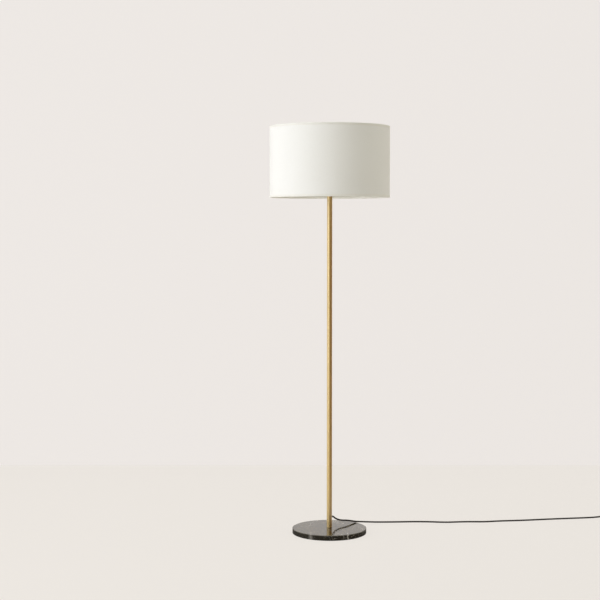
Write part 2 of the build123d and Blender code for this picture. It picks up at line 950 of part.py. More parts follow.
def switch_wires():
    """The live wires end at the module's terminals and the neutral runs past it."""
    wire_radius = wire_diameter / 2
    reach = module_length / 2 + terminal_thickness + contact_gap
    past = module_width / 2 + wire_diameter
    wires = []
    for side in (-1, 1):
        points = [
            (side * stub_end, wire_offset, gland_z),
            (side * stub_bend, wire_offset, gland_z),
            (side * reach, 0, gland_z - wire_bend),
        ]
        wires.append(tube_along(FilletPolyline(*points, radius=wire_bend), wire_radius))
    neutral = [
        (-stub_end, -wire_offset, gland_z),
        (-stub_bend, -wire_offset, gland_z),
        (-reach - wire_bend, -past, gland_z),
        (reach + wire_bend, -past, gland_z),
        (stub_bend, -wire_offset, gland_z),
        (stub_end, -wire_offset, gland_z),
    ]
    wires.append(tube_along(FilletPolyline(*neutral, radius=wire_bend), wire_radius))
    return group(*[switch_place() * wire for wire in wires])


def switch_button():
    top = switch_height + button_rise
    low = button_flange_z
    outside = disc(button_radius, top - low, low)
    outside = fillet(outside.edges().filter_by(GeomType.CIRCLE).sort_by(Axis.Z)[-1], button_dome)
    outside += disc(button_radius + button_flange, button_flange_thickness, low)
    body = outside - disc(button_radius - button_wall, top - button_wall - low, low)
    stem_low = module_z + module_height + button_travel + contact_gap
    stem = disc(button_stem_radius, top - button_wall - stem_low + stem_root, stem_low)
    return switch_place() * (body + stem)


def spring_levels():
    low = module_z + module_height + spring_wire / 2 + bore_gap
    high = switch_height + button_rise - button_wall - spring_wire / 2 - bore_gap
    return low, high


def switch_spring():
    """Open helix of quarter-turn pairs of arcs, round the button's stem."""
    low, high = spring_levels()
    count = 4 * spring_turns
    rise = (high - low) / count
    slope = rise / (spring_radius * radians(90))
    edges = []
    for index in range(count):
        ends = []
        for step in (index, index + 1):
            angle = radians(90 * step)
            ends.append((spring_radius * cos(angle), spring_radius * sin(angle), low + rise * step))
            ends.append((-sin(angle), cos(angle), slope))
        edges += biarc(*ends)
    coil = tube_along(Wire(edges), spring_wire / 2)
    print(f"switch_spring: least gap to itself {least_gap(edges, spring_wire, 4 * spring_radius):.2f}")
    return switch_place() * coil


# Coil of spare cord: it spirals in on the floor, climbs, and spirals out on top
def coil_point(half_turns):
    """Point and direction on the coil after a number of half turns."""
    middle = coil_layer_half_turns + 0.5
    radius = coil_inner_radius + coil_pitch * abs(half_turns - middle)
    angle = radians(-90 + 180 * half_turns)
    climb = min(max(half_turns - coil_layer_half_turns, 0.0), 1.0)
    slope = 0.0
    if 0.0 < climb < 1.0:
        slope = coil_layer / (radius * radians(90))
    z = coil_low + climb * coil_layer
    place = (coil_x + radius * cos(angle), coil_y + radius * sin(angle), z)
    return place, (-sin(angle), cos(angle), slope)


def cord_coil():
    steps = 2 * (2 * coil_layer_half_turns + 1)
    first, first_way = coil_point(0)
    last, last_way = coil_point(steps / 2)
    lead_in = Vector(*first) - Vector(*first_way) * cord_diameter
    lead_out = Vector(*last) + Vector(*last_way) * cord_diameter
    turns = []
    for step in range(steps):
        start, start_way = coil_point(step / 2)
        end, end_way = coil_point((step + 1) / 2)
        turns += biarc(start, start_way, end, end_way)
    edges = [Edge.make_line(lead_in, first)] + turns + [Edge.make_line(last, lead_out)]
    path = Wire(edges)
    coil = tube_along(path, cord_radius)
    share = coil.volume / (pi * cord_radius**2 * path.length)
    print(f"cord_coil: length {path.length:.0f}, volume against section times length {share:.4f}")
    print(f"cord_coil: least gap to itself {least_gap(edges, cord_diameter, 4 * cord_diameter):.2f}")
    return coil, path.length


def coil_tie():
    """Strap round the four tubes of the coil on its far side."""
    inner = coil_inner_radius + coil_pitch - cord_radius - tie_clearance
    outer = coil_inner_radius + 3 * coil_pitch + cord_radius + tie_clearance
    low = coil_low - cord_radius - tie_under_gap
    high = coil_low + coil_layer + cord_radius + tie_clearance
    width = outer - inner
    height = high - low
    wrap = 2 * tie_thickness
    hole = RectangleRounded(width, height, cord_radius)
    strap = RectangleRounded(width + wrap, height + wrap, cord_radius + tie_thickness)
    middle = (coil_x + (inner + outer) / 2, coil_y, (low + high) / 2)
    across = Plane(origin=middle, x_dir=(1, 0, 0), z_dir=(0, 1, 0))
    return across * extrude(strap - hole, tie_width / 2, both=True)


def cord_lead():
    """Short stretch from the foot switch down to the coil."""
    coil_start = coil_point(0)[0]
    points = [
        on_switch(stub_tip, 0, gland_z),
        on_switch(stub_tip + 13, 0, gland_z),
        on_switch(stub_tip + 31, -0.5, coil_low + 0.6),
        (coil_start[0] - cord_diameter - 14, coil_start[1], coil_low),
        (coil_start[0] - cord_diameter, coil_start[1], coil_low),
    ]
    return routed("cord_lead", points, cord_radius)


# Plug, in its own frame: the cord comes in along +Z at the tail of its relief
def plug_front():
    """Point at the middle of the plug's front face, and where its tail is."""
    coil_end = coil_point(2 * coil_layer_half_turns + 1)[0]
    tail_x = coil_end[0] - cord_diameter - tail_run
    return (tail_x - plug_relief_length - plug_length, coil_end[1], plug_z)


def plug_plane():
    return Plane(origin=plug_front(), x_dir=(0, 1, 0), z_dir=(-1, 0, 0))


def pin_places():
    """Frames on the front face with Z along each pin, leaning towards each other."""
    return [Pos(side * pin_spacing / 2, 0, 0) * Rot(0, -side * pin_angle, 0) for side in (-1, 1)]


def plug_pin():
    core = disc(pin_core_diameter / 2, pin_depth + sleeve_length, -pin_depth)
    tip = disc(pin_diameter / 2, pin_length - sleeve_length, sleeve_length)
    tip = fillet(tip.edges().filter_by(GeomType.CIRCLE).sort_by(Axis.Z)[-1], pin_tip_round)
    return core + tip


def plug_sleeve():
    return ring(sleeve_diameter / 2, pin_core_diameter / 2 + glue_gap, sleeve_length - bore_gap, bore_gap)


def plug_pins():
    return group(*[plug_plane() * place * plug_pin() for place in pin_places()])


def plug_sleeves():
    return group(*[plug_plane() * place * plug_sleeve() for place in pin_places()])


def plug_body():
    front_round = plug_thickness / 2 - plug_side_flat
    front = RectangleRounded(plug_width, plug_thickness, front_round)
    shoulder = RectangleRounded(plug_width - plug_shoulder_step, plug_thickness, front_round)
    shoulder = Pos(0, 0, -plug_shoulder) * shoulder
    rear_round = plug_rear_thickness / 2 - plug_side_flat
    rear = Pos(0, 0, -plug_length) * RectangleRounded(plug_rear_width, plug_rear_thickness, rear_round)
    body = loft([rear, shoulder, front], ruled=True)
    body = chamfer(body.faces().sort_by(Axis.Z)[-1].edges(), plug_front_chamfer)
    tail = -plug_length - plug_relief_length
    root = plug_relief_root_depth - plug_length
    relief = turned((0, tail), (plug_relief_tip, tail), (plug_relief_root, root), (0, root))
    for cut in relief_cuts(tail, plug_relief_length, plug_relief_tip, plug_relief_root):
        relief -= cut
    body += relief
    for place in pin_places():
        body -= place * disc(pin_core_diameter / 2 + glue_gap, pin_depth + pin_bore_run, -pin_depth)
    return plug_plane() * body


def cord_tail():
    """Short stretch from the top of the coil down to the plug."""
    coil_end = coil_point(2 * coil_layer_half_turns + 1)[0]
    start_x = coil_end[0] - cord_diameter
    y = coil_end[1]
    end_x = start_x - tail_run
    points = [
        (start_x, y, coil_end[2]),
        (start_x - 14, y, coil_end[2]),
        (start_x - 31, y + 1.5, plug_z + 1.5),
        (end_x + 14, y, plug_z),
        (end_x, y, plug_z),
    ]
    return routed("cord_tail", points, cord_radius)


os.makedirs("parts", exist_ok=True)

cord_solid, cord_length = cord()
lead_solid, lead_length = cord_lead()
coil_solid, coil_length = cord_coil()
tail_solid, tail_length = cord_tail()
free_length = cord_length + lead_length + coil_length + tail_length
print(f"free cord in all: {free_length:.0f}")

nodes = {
    "base_felt": base_felt(),
    "marble_base": marble_base(),
    "base_washer": base_washer(),
    "base_lock_washer": base_lock_washer(),
    "base_bolt": base_bolt(),
    "pole_gasket": pole_gasket(),
    "pole_foot": pole_foot(),
    "pole_lower": pole_section(0),
    "pole_middle": pole_section(1),
    "pole_upper": pole_section(2),
    "pole_couplers": pole_couplers(),
    "pole_top_plug": pole_top_plug(),
    "pole_cord": pole_cord(),
    "cord_relief": cord_relief(),
    "nipple": nipple(),
    "holder_cap": holder_cap(),
    "holder_core": holder_core(),
    "holder_terminal_screws": holder_terminal_screws(),
    "holder_wires": holder_wires(),
    "holder_contact": holder_contact(),
    "holder_shell": holder_shell(),
    "holder_skirt": holder_skirt(),
    "shade_nut_lower": ring_nut(lower_nut_z + ring_nut_height, False),
    "shade_nut_upper": ring_nut(upper_nut_z, True),
    "bulb_contact": bulb_contact(),
    "bulb_insulator": bulb_insulator(),
    "bulb_cap": bulb_cap(),
    "bulb_body": bulb_body(),
    "bulb_driver": bulb_driver(),
    "led_board": led_board(),
    "bulb_globe": bulb_globe(),
    "shade_fabric": shade_wall(fabric_radius, fabric_thickness),
    "shade_liner": shade_wall(liner_radius, liner_thickness),
    "shade_trim_top": shade_trim(True),
    "shade_trim_bottom": shade_trim(False),
    "shade_wire_top": shade_wire(True),
    "shade_wire_bottom": shade_wire(False),
    "shade_spokes": shade_spokes(),
    "shade_fitter": shade_fitter(),
    "cord": cord_solid,
    "switch_pads": switch_pads(),
    "switch_base": switch_base(),
    "switch_cover": switch_cover(),
    "switch_screws": switch_screws(),
    "switch_reliefs": switch_reliefs(),
    "switch_cord_ends": switch_cord_ends(),
    "switch_clamps": switch_clamps(),
    "switch_clamp_screws": switch_clamp_screws(),
    "switch_module": switch_module(),
    "switch_terminals": switch_terminals(),
    "switch_wires": switch_wires(),
    "switch_button": switch_button(),
    "switch_spring": switch_spring(),
    "cord_lead": lead_solid,
    "cord_coil": coil_solid,
    "coil_tie": coil_tie(),
    "cord_tail": tail_solid,
    "plug_body": plug_body(),
    "plug_pins": plug_pins(),
    "plug_sleeves": plug_sleeves(),
}

for name, solid in nodes.items():
    export_step(solid, f"parts/{name}.step")
print(len(nodes), "nodes written")
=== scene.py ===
# %% [markdown]
# Drum shade floor lamp
# The rigid pieces of this lamp come ready made, as exact solids in metres: a
# marble disc, a brass pole, a lampholder, the wire frame of the shade, a foot
# switch and a plug. What a solid can't show well is made here: the cloth of
# the shade, the tape on its rims, the braided cord and its tie, the felt under
# the marble, the spring under the foot button, and every surface finish. The
# first cell loads the solids.

# %% Load the solids
import json
import math

import bpy
import numpy as np
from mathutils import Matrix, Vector


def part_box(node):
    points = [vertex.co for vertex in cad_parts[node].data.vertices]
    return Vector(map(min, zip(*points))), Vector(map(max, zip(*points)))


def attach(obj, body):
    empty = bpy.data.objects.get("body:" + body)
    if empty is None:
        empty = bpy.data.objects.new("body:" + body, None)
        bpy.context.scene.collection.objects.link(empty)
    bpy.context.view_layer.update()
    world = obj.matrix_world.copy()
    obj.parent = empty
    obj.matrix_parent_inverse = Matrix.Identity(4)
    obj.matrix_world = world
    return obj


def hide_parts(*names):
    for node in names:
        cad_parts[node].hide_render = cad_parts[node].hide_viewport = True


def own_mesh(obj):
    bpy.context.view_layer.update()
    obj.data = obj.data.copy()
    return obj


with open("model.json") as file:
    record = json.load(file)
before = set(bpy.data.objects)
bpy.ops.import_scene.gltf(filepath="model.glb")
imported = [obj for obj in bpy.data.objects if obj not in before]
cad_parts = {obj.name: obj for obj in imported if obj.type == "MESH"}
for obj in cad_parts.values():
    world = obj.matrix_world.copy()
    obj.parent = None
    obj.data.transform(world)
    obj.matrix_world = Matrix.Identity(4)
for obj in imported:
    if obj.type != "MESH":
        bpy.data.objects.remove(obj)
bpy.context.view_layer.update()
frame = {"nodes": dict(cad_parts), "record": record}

MM = 0.001

# %% [markdown]
# The camera
# A lamp looks right only from where the picture was taken. The lens is long, so
# the pole's two edges stay nearly parallel, and the camera stands a little
# below the shade: it looks up at the shade's lower rim and down at the marble.
# The focal length is worked out from how many pixels a metre fills, which is
# why it is written in pixels first and turned into millimetres of lens.

# %% Camera
picture_width = 600
focal_pixels = 1390
sensor_width = 36.0
camera_place = Vector((-0.1114, -5.225, 1.160))
camera_pitch = math.radians(3.007)

camera = bpy.data.cameras.new("camera")
camera.sensor_width = sensor_width
camera.lens = focal_pixels / picture_width * sensor_width
camera_object = bpy.data.objects.new("camera", camera)
camera_object.location = camera_place
camera_object.rotation_euler = (math.pi / 2 - camera_pitch, 0, 0)
bpy.context.scene.collection.objects.link(camera_object)
bpy.context.scene.camera = camera_object
print("lens", round(camera.lens, 1), "mm")

# %% [markdown]
# Helpers for nodes
# A material is a small network of nodes. Writing each one out by hand is long,
# so one helper adds a node and either sets or links each of its inputs, and a
# second one does the same for a single sum. A node group is a network with
# named inputs and outputs, which several materials can then share.

# %% Node helpers
def add(tree, kind, inputs=None, **settings):
    """Add a node. An input given as a socket is linked, and any other value is set."""
    node = tree.nodes.new("ShaderNode" + kind)
    node.location = (180 * len(tree.nodes), 0)
    for name, value in settings.items():
        setattr(node, name, value)
    for name, value in (inputs or {}).items():
        if isinstance(value, bpy.types.NodeSocket):
            tree.links.new(value, node.inputs[name])
        else:
            node.inputs[name].default_value = value
    return node


def calc(tree, operation, *values):
    """One arithmetic step on numbers or sockets."""
    return add(tree, "Math", dict(enumerate(values)), operation=operation).outputs[0]


def new_group(name, inputs, outputs):
    """Empty node group with named sockets, each input with its default."""
    group = bpy.data.node_groups.new(name, "ShaderNodeTree")
    for label, value in inputs.items():
        kind = "NodeSocketVector" if value is None else "NodeSocketFloat"
        socket = group.interface.new_socket(label, in_out="INPUT", socket_type=kind)
        if value is not None:
            socket.default_value = value
    for label in outputs:
        group.interface.new_socket(label, in_out="OUTPUT", socket_type="NodeSocketFloat")
    return group, group.nodes.new("NodeGroupInput").outputs, group.nodes.new("NodeGroupOutput")


def place_group(tree, group, inputs):
    """Place a node group in a material and return its outputs."""
    return add(tree, "Group", inputs, node_tree=group).outputs


print("node helpers ready")

# %% [markdown]
# Shared effects
# Three effects return on many pieces. Woven cloth and braided cord are both
# threads that pass over and under each other, so one weave serves both: its
# input is counted in threads, and a cord only turns that grid by 45 degrees.
# Grain is the fine unevenness of moulded plastic, rubber and enamel, with broad
# patches where hands and cloths have been. Brushing is the same noise drawn out
# in one direction, as an abrasive belt leaves it on metal.

# %% Weave
def make_weave():
    """Group that turns a place counted in threads into the weave's height and tone."""
    group, given, result = new_group("weave", {"Threads": None, "Slub": 0.3}, ["Height", "Tone"])
    x, y, _ = add(group, "SeparateXYZ", {0: given["Threads"]}).outputs
    column = calc(group, "FLOOR", x)
    row = calc(group, "FLOOR", y)

    def thread(across, along, shift):
        """Height of one thread set: round across, and rising over every second thread."""
        profile = calc(group, "ABSOLUTE", calc(group, "SINE", calc(group, "MULTIPLY", across, math.pi)))
        phase = calc(group, "MULTIPLY", calc(group, "ADD", along, shift), math.pi)
        rise = calc(group, "MULTIPLY_ADD", calc(group, "SINE", phase), 0.5, 0.5)
        return calc(group, "MULTIPLY", calc(group, "POWER", profile, 0.6), rise)

    def yarn(stretch):
        """Slow change of tone along each thread."""
        drawn = add(group, "VectorMath", {0: given["Threads"], 1: stretch}, operation="MULTIPLY")
        noise = {"Vector": drawn.outputs[0], "Scale": 1.0, "Detail": 2.0}
        return add(group, "TexNoise", noise).outputs[0]

    warp = thread(x, y, column)
    weft = thread(y, x, calc(group, "ADD", row, 1.0))
    warp_yarn = yarn((0.9, 0.03, 1.0))
    weft_yarn = yarn((0.03, 0.9, 1.0))
    on_top = calc(group, "GREATER_THAN", warp, weft)
    tone = add(group, "Mix", {"Factor": on_top, "A": weft_yarn, "B": warp_yarn}).outputs[0]
    height = calc(group, "MAXIMUM", warp, weft)
    thick = calc(group, "MULTIPLY_ADD", tone, given["Slub"], 1.0)
    group.links.new(calc(group, "MULTIPLY", height, thick), result.inputs["Height"])
    group.links.new(tone, result.inputs["Tone"])
    return group


weave = make_weave()
print("made the node group", weave.name)

# %% Grain and brushing
def make_grain():
    """Group with a fine grain, and with patches about thirty times as broad."""
    group, given, result = new_group("grain", {"Vector": None, "Scale": 800.0}, ["Grain", "Patches"])
    fine = {"Vector": given["Vector"], "Scale": given["Scale"], "Detail": 3.0, "Roughness": 0.6}
    broad_scale = calc(group, "MULTIPLY", given["Scale"], 0.03)
    broad = {"Vector": given["Vector"], "Scale": broad_scale, "Detail": 2.0, "Distortion": 0.6}
    group.links.new(add(group, "TexNoise", fine).outputs[0], result.inputs["Grain"])
    group.links.new(add(group, "TexNoise", broad).outputs[0], result.inputs["Patches"])
    return group


def make_brushing():
    """Group with fine lines and broad bands, both drawn out by the same stretch."""
    group, given, result = new_group("brushing", {"Vector": None, "Stretch": None}, ["Lines", "Bands"])
    drawn = add(group, "VectorMath", {0: given["Vector"], 1: given["Stretch"]}, operation="MULTIPLY")
    lines = {"Vector": drawn.outputs[0], "Scale": 1.0, "Detail": 4.0, "Roughness": 0.7}
    bands = {"Vector": drawn.outputs[0], "Scale": 0.12, "Detail": 2.0}
    group.links.new(add(group, "TexNoise", lines).outputs[0], result.inputs["Lines"])
    group.links.new(add(group, "TexNoise", bands).outputs[0], result.inputs["Bands"])
    return group


grain = make_grain()
brushing = make_brushing()
print("shared effects:", [group.name for group in bpy.data.node_groups])

# %% [markdown]
# The stage
# The lamp stands on a pale floor in front of a pale wall, and the two meet in a
# soft line behind its base. Seen straight, in a mirror or through glass, both
# show mostly their own plain colour, so they stay even right across the
# picture. The rest is a matt surface, which keeps the shadow under the base.
# Both are planes, far larger than the picture. Three more walls close the room,
# for a look at the lamp from its sides and back. Only cameras see those, so they
# change nothing about the light. Every wall is clear from behind, so a camera
# that stands outside the room looks in through it.

# %% Floor and wall
floor_colour = (0.845, 0.805, 0.759)
wall_colour = (0.852, 0.812, 0.781)
wall_distance = 1.5
stage_width = 14.0
floor_drop = 0.1 * MM
floor_matt = 0.12
wall_matt = 0.07


def stage_finish(name, colour, matt_share):
    """Matt paint that mostly shows its plain colour, and is clear to a camera behind it."""
    material = bpy.data.materials.new(name)
    material.use_nodes = True
    tree = material.node_tree
    tree.nodes.clear()
    ray = add(tree, "LightPath").outputs
    mirrored = calc(tree, "MAXIMUM", ray["Is Glossy Ray"], ray["Is Transmission Ray"])
    seen = calc(tree, "MAXIMUM", ray["Is Camera Ray"], mirrored)
    plain = calc(tree, "MULTIPLY", seen, 1.0 - matt_share)
    matt = add(tree, "BsdfDiffuse", {"Color": (*colour, 1.0)})
    glow = add(tree, "Emission", {"Color": (*colour, 1.0), "Strength": 1.0})
    both = add(tree, "MixShader", {0: plain, 1: matt.outputs[0], 2: glow.outputs[0]})
    back = add(tree, "NewGeometry").outputs["Backfacing"]
    behind = calc(tree, "MULTIPLY", back, ray["Is Camera Ray"])
    clear = add(tree, "BsdfTransparent")
    either = add(tree, "MixShader", {0: behind, 1: both.outputs[0], 2: clear.outputs[0]})
    add(tree, "OutputMaterial", {"Surface": either.outputs[0]})
    return material


def stage_plane(name, place, turn, finish):
    """Large square plane."""
    bpy.ops.object.select_all(action="DESELECT")
    bpy.ops.mesh.primitive_plane_add(size=stage_width, location=place, rotation=turn)
    plane = bpy.context.object
    plane.name = name
    plane.data.materials.append(finish)
    return plane


quarter_turn = math.pi / 2
half_width = stage_width / 2
floor_middle = -1.0
wall_paint = stage_finish("wall_paint", wall_colour, wall_matt)
floor_paint = stage_finish("floor_paint", floor_colour, floor_matt)
stage_plane("floor", (0, floor_middle, -floor_drop), (0, 0, 0), floor_paint)
stage_plane("wall", (0, wall_distance, half_width), (quarter_turn, 0, 0), wall_paint)
for name, place, turn in (
    ("left_wall", (-half_width, floor_middle, half_width), quarter_turn),
    ("right_wall", (half_width, floor_middle, half_width), -quarter_turn),
    ("front_wall", (0, floor_middle - half_width, half_width), math.pi),
):
    far_wall = stage_plane(name, place, (quarter_turn, 0, turn), wall_paint)
    far_wall.visible_diffuse = False
    far_wall.visible_glossy = False
    far_wall.visible_transmission = False
    far_wall.visible_shadow = False
print("floor and wall meet", wall_distance, "m behind the pole")

# %% [markdown]
# The light
# Daylight comes from a large window at the front left: the left of the shade is
# almost white, the right is grey, and the brass carries a pale streak down its
# left side. An area lamp is that window. A weaker one overhead stands for the
# ceiling, and a third for the bright wall at the right. The rest of the room is
# an even world light. Together they stay at the level at which a white surface
# just reaches white. Polished metal needs something dark to mirror as well, or
# it looks like paint, so a photographer stands a dark board beside it. This one
# stands close to the right of the pole, where only reflections can see it.

# %% Lamps and world
def soft_lamp(name, place, aim, width, height, power, colour):
    """Rectangular area lamp at a place, turned towards what it is aimed at."""
    lamp = bpy.data.lights.new(name, "AREA")
    lamp.shape = "RECTANGLE"
    lamp.size = width
    lamp.size_y = height
    lamp.energy = power
    lamp.color = colour
    holder = bpy.data.objects.new(name, lamp)
    holder.location = place
    holder.rotation_euler = (Vector(aim) - Vector(place)).to_track_quat("-Z", "Y").to_euler()
    bpy.context.scene.collection.objects.link(holder)


room_colour = (1.0, 0.985, 0.87)
room_strength = 0.475
soft_lamp("window", place=(-3.0, -1.5, 1.4), aim=(0.0, 0.0, 1.4),
          width=2.3, height=3.0, power=73.5, colour=(0.90, 0.93, 1.0))
soft_lamp("ceiling", place=(0.2, -0.6, 3.6), aim=(0.1, 0.2, 0.0),
          width=3.4, height=3.0, power=26.0, colour=(1.0, 0.98, 0.93))
soft_lamp("side_wall", place=(3.2, 1.4, 1.3), aim=(0.0, 0.0, 1.2),
          width=1.0, height=2.6, power=18.0, colour=(1.0, 0.98, 0.88))

world = bpy.data.worlds.new("room")
world.use_nodes = True
room = world.node_tree.nodes["Background"]
room.inputs["Color"].default_value = (*room_colour, 1.0)
room.inputs["Strength"].default_value = room_strength
bpy.context.scene.world = world
bpy.context.scene.view_settings.view_transform = "Standard"
print("lamps:", [light.name for light in bpy.data.lights])

# %% Dark board
def dark_board(place, width, height, colour):
    """Upright board that faces the pole and shows only in reflections."""
    bpy.ops.object.select_all(action="DESELECT")
    facing = math.atan2(-place[0], place[1])
    bpy.ops.mesh.primitive_plane_add(size=1, location=place, rotation=(quarter_turn, 0, facing))
    board = bpy.context.object
    board.name = "dark_board"
    board.scale = (width, height, 1)
    material = bpy.data.materials.new("board_paint")
    material.use_nodes = True
    sockets = material.node_tree.nodes["Principled BSDF"].inputs
    sockets["Base Color"].default_value = (*colour, 1.0)
    sockets["Roughness"].default_value = 0.9
    board.data.materials.append(material)
    board.visible_camera = False
    board.visible_shadow = False
    board.visible_diffuse = False
    print(board.name, width, "m wide at", place)


dark_board(place=(0.56, -0.27, 1.1), width=1.25, height=2.2, colour=(0.20, 0.075, 0.005))

# %% [markdown]
# Helpers for pieces
# Blender's operators act on everything that is selected, and the ready made
# solids start out selected. So each new piece starts from an empty selection.
# In edit mode the same holds for its vertices, edges and faces: some steps are
# for all of them, and some only for those that lie in a certain place. When a
# piece is done, its place is baked into its mesh, which leaves the object at
# the origin like the solids, and it is told which moving body it belongs to.

# %% Piece helpers
new_pieces = {}


def fresh():
    """Object mode with nothing selected."""
    if bpy.context.mode != "OBJECT":
        bpy.ops.object.mode_set(mode="OBJECT")
    bpy.ops.object.select_all(action="DESELECT")


def choose(piece):
    """Select only this piece, in object mode."""
    fresh()
    piece.select_set(True)
    bpy.context.view_layer.objects.active = piece


def edit(piece):
    """Open only this piece for editing, with all of it selected."""
    choose(piece)
    bpy.ops.object.mode_set(mode="EDIT")
    bpy.ops.mesh.select_all(action="SELECT")


def pick(piece, kind, test):
    """In edit mode, select only the vertices, edges or faces whose middle passes the test."""
    bpy.ops.mesh.select_all(action="DESELECT")
    bpy.ops.mesh.select_mode(type={"vertices": "VERT", "edges": "EDGE", "polygons": "FACE"}[kind])
    bpy.ops.object.mode_set(mode="OBJECT")
    mesh = piece.data
    place = piece.matrix_world
    for item in getattr(mesh, kind):
        if kind == "vertices":
            middle = item.co
        elif kind == "edges":
            middle = (mesh.vertices[item.vertices[0]].co + mesh.vertices[item.vertices[1]].co) / 2
        else:
            middle = item.center
        item.select = bool(test(place @ middle))
    bpy.ops.object.mode_set(mode="EDIT")


def face_outwards():
    """In edit mode, turn every face to the outside."""
    bpy.ops.mesh.select_all(action="SELECT")
    bpy.ops.mesh.normals_make_consistent(inside=False)


def face_away_from_pole(piece, face):
    """An open wall has no outside, so flip all of it if this face looks at the pole."""
    if face.normal.xy.dot(face.center.xy) < 0:
        piece.data.flip_normals()


def sized_plane(place, width, height, turn=(0, 0, 0)):
    """Plane with its size already baked into its mesh."""
    fresh()
    bpy.ops.mesh.primitive_plane_add(size=1, location=place, rotation=turn)
    plane = bpy.context.object
    plane.scale = (width, height, 1)
    bpy.ops.object.transform_apply(location=True, rotation=True, scale=True)
    return plane


def modify(piece, kind, **settings):
    """Add a modifier and apply it at once."""
    choose(piece)
    modifier = piece.modifiers.new(kind.lower(), kind)
    for name, value in settings.items():
        setattr(modifier, name, value)
    bpy.ops.object.modifier_apply(modifier=modifier.name)


def map_cloth(piece, place_on_cloth):
    """UV map in metres, from each point's place on the flat cloth, along and across."""
    layer = piece.data.uv_layers.active or piece.data.uv_layers.new(name="UVMap")
    for face in piece.data.polygons:
        for corner in face.loop_indices:
            point = piece.data.vertices[piece.data.loops[corner].vertex_index].co
            layer.data[corner].uv = place_on_cloth(point, face)


def settle(piece, name, body, slot, smooth=35.0):
    """Bake the place into the mesh, smooth the shading and join the piece to its body."""
    choose(piece)
    piece.name = name
    piece.data.name = name
    bpy.ops.object.transform_apply(location=True, rotation=True, scale=True)
    bpy.ops.object.shade_smooth_by_angle(angle=math.radians(smooth))
    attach(piece, body)
    new_pieces[name] = slot
    print(name, "has", len(piece.data.polygons), "faces")
    return piece


print("piece helpers ready")

# %% [markdown]
# The cord
# A two-core lead in a woven textile jacket leaves the pole through a soft
# grommet, drops towards the marble, rests near its rim, falls over it and
# then wanders across the floor to a foot switch. A cord is one smooth curve of
# a fixed length, so it is drawn as a NURBS spline: the points only pull on it,
# and it rounds every corner by itself. Its order is set after its points. The
# tube is then skinned along that line, and its UV map is measured in metres,
# so that the braid keeps its size however the points are spaced.

# %% Route of the cord
cord_width = 6.2 * MM
cord_rest = 3.2 * MM
exit_turn = math.radians(18.0)
exit_level = 56.0 * MM
switch_place = (1.187, 0.295)
switch_turn = math.radians(12.0)


def on_exit(out):
    """Point straight out of the pole's grommet, in millimetres from the pole's axis."""
    return (out * math.sin(exit_turn) * MM, out * math.cos(exit_turn) * MM, exit_level)


def on_switch(along, across, level):
    """Point in millimetres from the foot switch's middle, along and across its case."""
    x = along * math.cos(switch_turn) - across * math.sin(switch_turn)
    y = along * math.sin(switch_turn) + across * math.cos(switch_turn)
    return (switch_place[0] + x * MM, switch_place[1] + y * MM, level * MM)


over_the_base = [
    (17, 47.4, 52), (23.6, 52.2, 45.4), (34.8, 55, 39.4), (51, 61, 35.4), (69.5, 71.5, 33.4),
    (87.5, 83, 28.4), (105.5, 96, 23.1), (122.5, 115, 18.6), (143.5, 138, 13.1), (169, 160.5, 7.5),
]
on_the_floor = [
    (198, 179), (262, 181), (330, 187), (395, 185.5), (460, 173.5), (520, 184), (562, 186),
    (615, 184), (675, 200), (760, 209.5), (845, 228), (930, 244), (1010, 257), (1072, 270),
]
first_route = [on_exit(31.5), on_exit(41.5)]
first_route += [(x * MM, y * MM, z * MM) for x, y, z in over_the_base]
first_route += [(x * MM, y * MM, cord_rest) for x, y in on_the_floor]
first_route += [on_switch(-71.5, 0, 8), on_switch(-54.5, 0, 8)]
print("points from the pole to the switch:", len(first_route))

# %% Route of the coil
coil_middle = (1.310, 0.351)
coil_radius = 30.0
half_turn_pitch = 3.45
coil_levels = (4.2, 11.0)
half_turns = 7
points_per_half_turn = 8
round_pull = 0.981
coil_edge = coil_radius + half_turn_pitch * half_turns / 2


def on_coil(x, y, level):
    """Point in millimetres from the coil's middle, which lies on the floor."""
    return (coil_middle[0] + x * MM, coil_middle[1] + y * MM, level * MM)


def coil_point(half_turn):
    """Point of a turn: in towards the middle on the floor, then out again on top."""
    radius = (coil_radius + half_turn_pitch * abs(half_turn - half_turns / 2)) / round_pull
    angle = math.pi * (half_turn - 0.5)
    share = min(max(half_turn - 3, 0), 1)
    level = coil_levels[0] + (coil_levels[1] - coil_levels[0]) * share
    return on_coil(radius * math.cos(angle), radius * math.sin(angle), level)


second_route = [on_switch(54.5, 0, 8), on_switch(67.5, 0, 8), on_switch(85.5, -0.5, 4.8)]
second_route += [on_coil(-20.2, -coil_edge, 4.2), on_coil(-6.2, -coil_edge, 4.2)]
for step in range(half_turns * points_per_half_turn + 1):
    second_route.append(coil_point(step / points_per_half_turn))
second_route += [on_coil(-6.2, coil_edge, 11), on_coil(-20.2, coil_edge, 11)]
second_route += [on_coil(-37.2, coil_edge + 1.5, 8.45)]
second_route += [on_coil(-54.2, coil_edge, 6.95), on_coil(-68.2, coil_edge, 6.95)]
print("points from the switch to the plug:", len(second_route))

